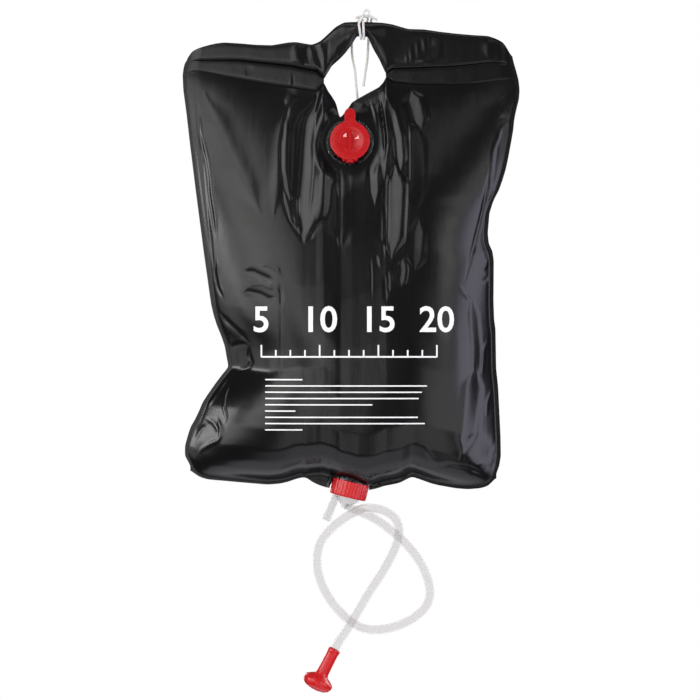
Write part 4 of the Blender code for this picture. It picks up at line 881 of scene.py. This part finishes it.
def rounded_plate(name, corners, low, high, radius, edge):
    """A flat plate on the filler: its rounded outline in millimetres, swept outward with eased edges."""
    outline = rounded(corners, radius, closed=True, steps=8)
    middle = outline.mean(axis=0)
    inner = 0.98 - edge * 0.02
    rings = [np.column_stack((middle + (outline - middle) * inset, np.full(len(outline), level)))
             for inset, level in ((0.0, low), (0.5, low), (inner, low), (1.0, low + edge), (1.0, high - edge),
                                  (inner, high), (0.5, high), (0.0, high))]
    return grid_mesh(name, in_place(filler_axes, np.array(rings)), False)


red = red_finish("red_moulded_plastic", 0.49, 0.32)
# The cap, its ring and its strap get a darker copy of the same red as the nut and head: painted shade,
# against the stronger light that falls on the cap's face.
shaded_cap_red = red_finish("shaded_soft_red_plastic", 0.37, 0.22)

cap_ring = turned("cap_strap_ring", filler_axes, rounded(
    ((20.8, 2.0), (23.0, 2.0), (23.0, 4.0), (20.8, 4.0)), 0.6, closed=True))
ring_lug = rounded_plate("ring_lug", oblong(-6, 6, -21.9, -25.4), 2.0, 3.4, 1.0, 0.3)
joined(cap_ring, ring_lug)
settle(cap_ring, shaded_cap_red, "bag", "cap_ring")

cap_body = turned("push_in_cap", filler_axes, rounded(
    ((0, 1.5), (16.8, 1.5), (18.2, 8.0), (23.3, 8.3), (23.8, 8.8), (23.8, 10.1), (22.8, 10.7), (17.0, 11.2),
     (14.6, 10.7), (10.5, 9.2), (6.0, 8.5), (0, 8.4)), 2.4), sides=128)
grip_rib = rounded_plate("grip_rib", oblong(-2, 2, -14.6, 14.6), 6.4, 10.6, 0.8, 0.6)
pull_tab = rounded_plate("pull_tab", (
    (-9.4, 17), (9.4, 17), (6.5, 24.5), (6.9, 31), (6.3, 35.5), (3.0, 39.4), (-3.0, 39.4), (-6.3, 35.5),
    (-6.9, 31), (-6.5, 24.5)), 8.5, 10.5, 3.0, 0.5)
tab_grips = [rounded_plate("tab_grip", oblong(-3.9, 3.9, 27 + step, 28.0 + step), 10.2, 10.8, 0.4, 0.2)
             for step in (0, 2.4, 4.8, 7.2)]
foot_lugs = [rounded_plate("foot_lug", oblong(x - 1.6, x + 1.6, -21.8, -25.2), 8.6, 10.2, 0.9, 0.3)
             for x in (-7.4, 7.4)]


def grip_step(x, y, reach, tilt):
    """A three-sided step in a grip pocket, whose face falls to the left by a tilt over its reach."""
    corners = np.array(((x - reach, y - reach * 0.45, 10.5 - tilt), (x + reach * 0.9, y - reach * 0.65, 10.5),
                        (x + reach * 0.8, y + reach * 0.9, 10.3)))
    foot = corners * (1, 1, 0) + (0, 0, 6.0)
    points = np.array((foot, foot, corners, corners))
    points[0] = foot.mean(axis=0)
    points[3] = corners.mean(axis=0)
    return grid_mesh("grip_step", in_place(filler_axes, points), False)


grip_steps = [grip_step(-7.0, 6.2, 3.3, 2.1), grip_step(8.2, 3.4, 3.0, 2.0)]
# The grip steps get a lighter and glossier red than the cap's. The gloss is real, and the lighter base colour
# is a painted highlight for the two glints on the cap's face.
polished_glint_red = Finish("polished_red_painted_glint", (0.60, 0.03, 0.03), 0.10, Specular_IOR_Level=1.0)
polished_glint_red.put("Roughness", polished_glint_red.noise(300, 2) * 0.05 + 0.07)
steps = joined(*grip_steps)
settle(steps, polished_glint_red, "cap")
cap = joined(cap_body, grip_rib, pull_tab, *tab_grips, *foot_lugs)
settle(cap, shaded_cap_red, "cap", "filler_cap")


def strip(name, line, width, thickness):
    """A strap on the filler: a line up and outward in millimetres, given a thickness and a width."""
    line = rounded(line, 1.4, steps=6)
    run = np.gradient(line, axis=0)
    run = run / np.linalg.norm(run, axis=1)[:, None]
    across_run = np.column_stack((-run[:, 1], run[:, 0])) * thickness / 2
    rings = [np.column_stack((np.full(len(line), side * width / 2), line + across_run * skin))
             for side, skin in ((-1, -1), (-1, 1), (1, 1), (1, -1))]
    points = np.array(rings).transpose(1, 0, 2)
    ends = [np.repeat(points[end].mean(axis=0)[None, None], 4, axis=1) for end in (0, -1)]
    return grid_mesh(name, in_place(filler_axes, np.concatenate((ends[0], points, ends[1]))), False)


cap_strap = strip("cap_strap", (
    (-23.2, 2.7), (-25.7, 2.7), (-26.2, 3.7), (-26.1, 8.6), (-25.3, 9.3), (-22.9, 9.3)), 8.0, 1.2)
cap_strap.data.materials.append(shaded_cap_red.material)
hinge_place = np.array(joints["cap_open"]["pos_m"])
outward = filler_axes[:3, 2]
tuple(hinge_place - outward * 0.0009)
tuple(hinge_place + outward * 0.0015)
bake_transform(cap_strap)


# The outlet: a clear spout that is welded into the bottom seam, a red ribbed nut that screws on it, and
# under the nut a clear nozzle with a spigot for the hose and a short stub beside it. Rubber rings seal them.
outlet_axes = placed_axes(SPOUT_PLACE, (0.970296, 0, -0.241922), joints["collar_turn"]["axis"])
spout = turned("welded_spout", outlet_axes, rounded(
    ((14.0, -14.0), (17.6, -14.0), (17.6, 5.8), (19.0, 5.8), (19.0, 7.4), (17.6, 7.4), (17.6, 20.0),
     (14.0, 20.0)), 0.4, closed=True))
settle(spout, clear, "bag", "outlet_spout")


def recoat(node, finish):
    """Give a CAD node that stays in the scene its own material."""
    piece = frame["nodes"][node]
    piece.data.materials.clear()
    piece.data.materials.append(finish.material)


rubber = Finish("dark_sealing_rubber", (0.09, 0.09, 0.10), 0.7)
rubber.put("Roughness", rubber.noise(200, 3) * 0.2 + 0.6)
rubber.bump(rubber.noise(700, 2), 0.0001)
recoat("outlet_gasket", rubber)
recoat("stem_o_ring", rubber)

RIB_COUNT = 28
RIB_HEIGHT = 0.55
nut_body = turned("ribbed_nut", outlet_axes, rounded(
    ((18.0, 8.0), (21.2, 8.0), (21.7, 8.6), (21.7, 26.0), (21.0, 27.4), (15.7, 27.4), (15.7, 25.0),
     (18.0, 25.0)), 0.5, closed=True), sides=RIB_COUNT * 8, ribs=RIB_COUNT, rib_height=RIB_HEIGHT,
    ribbed=21.3)
settle(nut_body, red, "collar", "outlet_collar")


def distances(points):
    """How far along a route each of its points is."""
    return np.concatenate(([0], np.cumsum(np.linalg.norm(np.diff(points, axis=0), axis=1))))


def smooth_route(points, step):
    """Points a step apart on a Catmull-Rom curve through a route's own points."""
    route = np.array(points, float)
    padded = np.vstack((2 * route[0] - route[1], route, 2 * route[-1] - route[-2]))
    fine = np.linspace(0, 1, 24, endpoint=False)[:, None]
    runs = []
    for before, start, end, after in zip(padded, padded[1:], padded[2:], padded[3:]):
        runs.append(0.5 * (2 * start + (end - before) * fine
                           + (2 * before - 5 * start + 4 * end - after) * fine ** 2
                           + (3 * start - before - 3 * end + after) * fine ** 3))
    curve = np.vstack(runs + [route[-1:]])
    travelled = distances(curve)
    stations = np.linspace(0, travelled[-1], max(2, round(travelled[-1] / step)) + 1)
    return np.column_stack([np.interp(stations, travelled, curve[:, axis]) for axis in range(3)])


def route_frames(points):
    """At each point of a route, two directions square to it that turn with it as little as they can."""
    run = np.gradient(points, axis=0)
    run = run / np.linalg.norm(run, axis=1)[:, None]
    side = np.cross(run[0], (0.0, 1.0, 0.05))
    side = side / np.linalg.norm(side)
    sides = []
    for direction in run:
        side = side - direction * (side @ direction)
        side = side / np.linalg.norm(side)
        sides.append(side)
    sides = np.array(sides)
    return sides, np.cross(run, sides)


STRAND_PITCH = 0.009
STRAND_GROOVE = 0.22


def pipe(name, points, outline, sides=32, strands=0):
    """A pipe along a route: its outline's (number of a route point, radius), carried round the route.

    With strands, the radius falls by the share groove * (1 - |sin(strands * twist / 2)| ** 0.6). The twist is
    the angle less one turn for each pitch along the route, so that the strands wind round it.
    """
    across, up = route_frames(points)
    travelled = distances(points)
    angle = np.linspace(0, 2 * math.pi, sides, endpoint=False)
    rings = []
    for number, radius in outline:
        size = np.full(sides, radius)
        if strands:
            twist = angle - 2 * math.pi * travelled[number] / STRAND_PITCH
            size = radius - STRAND_GROOVE * radius * (1 - np.abs(np.sin(strands * twist / 2)) ** 0.6)
        rings.append(points[number] + size[:, None] * (np.cos(angle)[:, None] * across[number]
                                                       + np.sin(angle)[:, None] * up[number]))
    closed = not (outline[0][1] == 0 and outline[-1][1] == 0)
    return grid_mesh(name, np.array(rings), closed)


milky = Finish("milky_moulded_plastic", (0.84, 0.835, 0.84), 0.15, Transmission_Weight=0.9, IOR=1.08,
               Specular_IOR_Level=0.5)
milky.put("Roughness", milky.noise(90, 3) * 0.06 + 0.10)
SPIGOT_BORE = 0.0026
SPIGOT_RADIUS = 0.0042
BARB_RADIUS = 0.0047
STUB_BORE = 0.0034
STUB_RADIUS = 0.0050
BEAD_RADIUS = 0.0056
spigot_way = np.array((0.927184, 0, -0.374607))
hose_mouth = np.array((-0.017022, 0.0, -0.599673))
nozzle_body = turned("clear_nozzle", outlet_axes, rounded(
    ((13.6, 22.1), (17.6, 22.1), (17.6, 24.7), (15.4, 24.7), (15.4, 27.4), (14.94, 29.3), (14.17, 30.9),
     (7.4, 35.5), (5.6, 37.8), (5.3, 39.6), (3.6, 41.3), (0, 41.9), (0, 40.4), (3.0, 39.4), (3.9, 37.2),
     (5.6, 34.6), (12.4, 30.2), (13.4, 27.4)), 0.6, closed=True))
spigot_line = smooth_route([hose_mouth - spigot_way * back for back in (0.0092, 0.005, 0.0003)], 0.0004)
last = len(spigot_line) - 1
spigot = pipe("spigot", spigot_line, [(0, SPIGOT_BORE)]
              + [(n, SPIGOT_RADIUS) for n in range(0, last - 9, 2)]
              + [(last - 9, BARB_RADIUS), (last - 5, 0.0043), (last - 4, BARB_RADIUS), (last, 0.0040),
                 (last, SPIGOT_BORE)])
stub_top = np.array((-0.035883, 0.0, -0.5831))
stub_way = np.array((-0.39073, 0, -0.9205))
stub_line = np.array([stub_top + stub_way * along for along in np.linspace(0.0004, 0.033, 40)])
stub = pipe("stub", stub_line, [(0, STUB_BORE), (0, STUB_RADIUS)]
            + [(n, STUB_RADIUS) for n in (*range(2, 30, 4), 30)]
            + [(31, BEAD_RADIUS), (36, BEAD_RADIUS), (38, STUB_RADIUS), (39, 0.0049), (39, STUB_BORE)])
nozzle = joined(nozzle_body, spigot, stub)
settle(nozzle, milky, "nozzle", "outlet_nozzle")

# The hose: a clear PVC tube that still holds the curl of its packing. It is pushed on the spigot, and its
# other end holds the stem of the shower head. Its route is in tenths of a millimetre from the spigot's end.
HOSE_RADIUS = 0.0054
HOSE_BORE = 0.0040
HOSE_ROUTE = np.array((
    (0, 0, 0), (96, 0, -38), (216, -20, -90), (336, -50, -158), (456, -80, -248), (576, -90, -350),
    (708, -90, -488), (828, -80, -662), (906, -60, -848), (930, -40, -1016), (876, -20, -1178),
    (732, 0, -1310), (540, 20, -1406), (336, 40, -1452), (144, 60, -1440), (-24, 70, -1352),
    (-192, 50, -1190), (-324, 20, -992), (-402, -20, -788), (-422, -60, -584), (-384, -100, -404),
    (-288, -140, -266), (-162, -170, -152), (-24, -190, -56), (108, -200, 4), (252, -190, 16),
    (396, -150, -24), (510, -80, -110), (560, 0, -236), (546, 60, -380), (486, 80, -536), (372, 60, -746),
    (216, 10, -980), (60, -60, -1238), (-72, -90, -1454), (-164, -90, -1588), (-210, -90, -1676),
    (-256, -90, -1765))) / 10000
hose_line = smooth_route(HOSE_ROUTE + hose_mouth, 0.0022)
hose_rings = range(len(hose_line))
hose = pipe("clear_hose", hose_line, [(n, HOSE_RADIUS) for n in hose_rings]
            + [(n, HOSE_BORE) for n in reversed(hose_rings)], sides=36)
soft_clear = Finish("clear_soft_tube", (0.86, 0.85, 0.85), 0.03, Transmission_Weight=0.96, IOR=1.07,
                    Specular_IOR_Level=0.5)
soft_clear.put("Roughness", soft_clear.noise(60, 3) * 0.03 + 0.02)
settle(hose, soft_clear, "nozzle", "hose")

# The shower head: a red moulded bell that slides on a clear stem in the hose's end, sealed by a rubber
# ring, with a domed plate snapped in its mouth, which has rings of small spray nubs.
DOME_RADIUS = 17.2
DOME_FOOT = 47.3
DOME_RISE = 6.8
INSIDE_RADIUS = 15.4
INSIDE_FOOT = 45.9
INSIDE_RISE = 6.6
PLATE_FOOT = 45.4
NUB_RING = 0.34 * DOME_RADIUS

head_axes = placed_axes((-0.03803, -0.009, -0.76729), (-0.88836, 0, 0.45915), joints["head_slide"]["axis"])
bell = turned("shower_bell", head_axes, rounded(
    ((5.8, 0.0), (6.7, 0.0), (7.4, 1.0), (7.55, 3.2), (7.0, 6.0), (7.1, 21.0), (7.5, 31.5), (8.8, 35.0),
     (13.2, 37.6), (17.4, 40.6), (18.4, 43.0), (18.4, 45.6), (18.0, 47.2), (17.5, 47.2), (17.5, 45.0),
     (15.7, 45.0), (11.1, 38.0), (4.9, 35.0), (4.9, 30.8), (5.8, 30.4)), 0.9, closed=True), sides=128)
settle(bell, red, "head", "shower_head")
dome_turn = np.linspace(math.pi / 2, 0, 14)
dome = [(DOME_RADIUS * math.sin(turn), DOME_FOOT + DOME_RISE * math.cos(turn)) for turn in dome_turn]
dome_inside = [(INSIDE_RADIUS * math.sin(turn), INSIDE_FOOT + INSIDE_RISE * math.cos(turn))
               for turn in dome_turn[::-1]]
dome[-1] = (0, DOME_FOOT + DOME_RISE)
dome_inside[0] = (0, INSIDE_FOOT + INSIDE_RISE)
plate_body = turned("spray_dome", head_axes, [(DOME_RADIUS, PLATE_FOOT)] + dome + dome_inside
                    + [(INSIDE_RADIUS, PLATE_FOOT)])
nubs = []
for ring, count in enumerate((1, 6, 12)):
    for step in range(count):
        angle = 2 * math.pi * step / count
        reach = ring * NUB_RING
        level = DOME_FOOT + DOME_RISE * math.sqrt(1 - (reach / DOME_RADIUS) ** 2)
        nub_place = np.array((reach * math.cos(angle), reach * math.sin(angle), level))
        nub_axes = head_axes.copy()
        nub_axes[:3, 3] = in_place(head_axes, nub_place)
        nubs.append(turned("nub", nub_axes, ((0.7, -1.2), (1.2, -1.2), (1.1, 0.1), (0.95, 0.25), (0.7, 0.1)),
                           sides=14))
plate = joined(plate_body, *nubs)
settle(plate, red, "head", "spray_plate")
recoat("shower_stem", clear)

# The hanging cord: thin white laid cord, wound twice round the bunched grip and knotted on top of it. A
# small loop stands above the knot, and two tails hang down behind the hand hole.
cord_finish = Finish("white_laid_cord", (0.58, 0.58, 0.57), 0.55, Subsurface_Weight=0.2,
                     Subsurface_Scale=0.001, Sheen_Weight=0.3)
fibres = cord_finish.noise(1400, 3, (1, 1, 0.3))
cord_finish.put("Base Color", cord_finish.blend(fibres, (0.46, 0.46, 0.45, 1), (0.70, 0.70, 0.68, 1)))
cord_finish.bump(fibres, 0.00015)
CORD_WIDTH = 0.003
FILM_THICKNESS = 0.0010
WELD_ROOM = 0.0003
CORD_ROOM = 0.0004
GRIP_SPAN = 0.031 * BAG_HEIGHT
TOP_STEP = 0.006
BOTTOM_STEP = 0.0036
LOOP_REACH = 0.0031
LOOP_FOOT = -0.0074
LOOP_SHOULDER = -0.0050
LOOP_MIDDLE = -0.0046
KNOT = np.array((-0.0012, 0.0, -0.0086))
# The routes of the tails and of the runs between knot and winding, in tenths of a millimetre from the knot.
LEFT_TAIL = np.array((
    (-33, 38, 0), (-43, 78, -4), (-83, 125, -40), (-133, 140, -150), (-160, 135, -290), (-162, 130, -402),
    (-150, 120, -522), (-126, 110, -642), (-114, 105, -786), (-102, 105, -906), (-96, 105, -1014))) / 10000
RIGHT_TAIL = np.array((
    (56, 28, 0), (76, 68, -6), (68, 125, -50), (46, 140, -170), (34, 135, -310), (30, 130, -402),
    (18, 120, -546), (-6, 110, -702), (-24, 105, -834))) / 10000
LEAD_IN = np.array(((-32, -46, 0), (-34, -70, -3), (-52, -88, -34))) / 10000
LEAD_OUT = np.array(((26, 89, -38), (22, 72, -3), (22, 46, 0))) / 10000


def laid_cord(name, points, diameter=CORD_WIDTH):
    """A cord of three strands along a route, with eased ends."""
    count = len(points)
    radius = diameter / 2
    outline = [(0, 0.0), (0, radius * 0.8)] + [(n, radius) for n in range(1, count - 1)] \
        + [(count - 1, radius * 0.8), (count - 1, 0.0)]
    cord = pipe(name, points, outline, sides=24, strands=3)
    settle(cord, cord_finish, "bag")
    return cord


reach_up = GRIP_SPAN / 2 + FILM_THICKNESS + CORD_ROOM + CORD_WIDTH / 2
reach_out = GRIP_DEPTH + FILM_THICKNESS + WELD_ROOM + CORD_ROOM + CORD_WIDTH / 2
turns = np.linspace(1 / 6, 2 - 1 / 6, 97)
turn = 2 * math.pi * turns
spread = BOTTOM_STEP + (TOP_STEP - BOTTOM_STEP) * (1 + np.cos(turn)) / 2
winding = np.column_stack((GRIP_X + (turns - 1) * spread, -reach_out * np.sin(turn),
                           BAG_TOP - GRIP_SPAN / 2 + reach_up * np.cos(turn)))
lead_in = smooth_route(np.vstack((LEAD_IN + KNOT, winding[:1])), 0.0008)[:-1]
lead_out = smooth_route(np.vstack((winding[-1:], LEAD_OUT + KNOT)), 0.0008)[1:]
winding = np.vstack((lead_in, winding, lead_out))
wrap = laid_cord("cord_winding", winding)
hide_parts("hanging_cord_wrap")

arch_turn = np.linspace(math.pi, 0, 25)
arch = np.column_stack((LOOP_REACH * np.cos(arch_turn), 0 * arch_turn,
                        LOOP_MIDDLE + LOOP_REACH * np.sin(arch_turn)))
legs = np.linspace(LOOP_FOOT, LOOP_SHOULDER, 4)
loop_line = np.vstack((np.column_stack((np.full(4, -LOOP_REACH), np.zeros(4), legs)), arch,
                       np.column_stack((np.full(4, LOOP_REACH), np.zeros(4), legs[::-1]))))
loop = laid_cord("cord_loop", loop_line)
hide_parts("hanging_cord_loop")

short_ends = laid_cord("cord_knot", smooth_route(np.array(
    ((-120, 12, -20), (-60, 8, -4), (0, 0, 0), (60, -12, -6), (145, -15, -46))) / 10000 + KNOT, 0.0007))
knot_turn = np.linspace(0, 2 * math.pi, 40)
knot_turns = []
for tilt, x_shift, size in ((0.5, -0.0016, 0.0024), (-0.45, 0.0017, 0.0024), (0.1, 0.0, 0.0026)):
    ring = np.column_stack((x_shift + 0.0012 * np.sin(knot_turn + tilt) + tilt * 0.0015 * np.cos(knot_turn),
                            size * np.sin(knot_turn), 0.0008 * np.cos(knot_turn)))
    knot_turns.append(laid_cord("knot_turn", ring + KNOT, 0.0026))
knot = joined(short_ends, *knot_turns)
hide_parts("hanging_cord_knot")

for name, route, node in (("cord_tail_left", LEFT_TAIL, "hanging_cord_tail_left"),
                          ("cord_tail_right", RIGHT_TAIL, "hanging_cord_tail_right")):
    line = smooth_route(route + KNOT, 0.0009)
    tail = laid_cord(name, line)
    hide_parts(node)
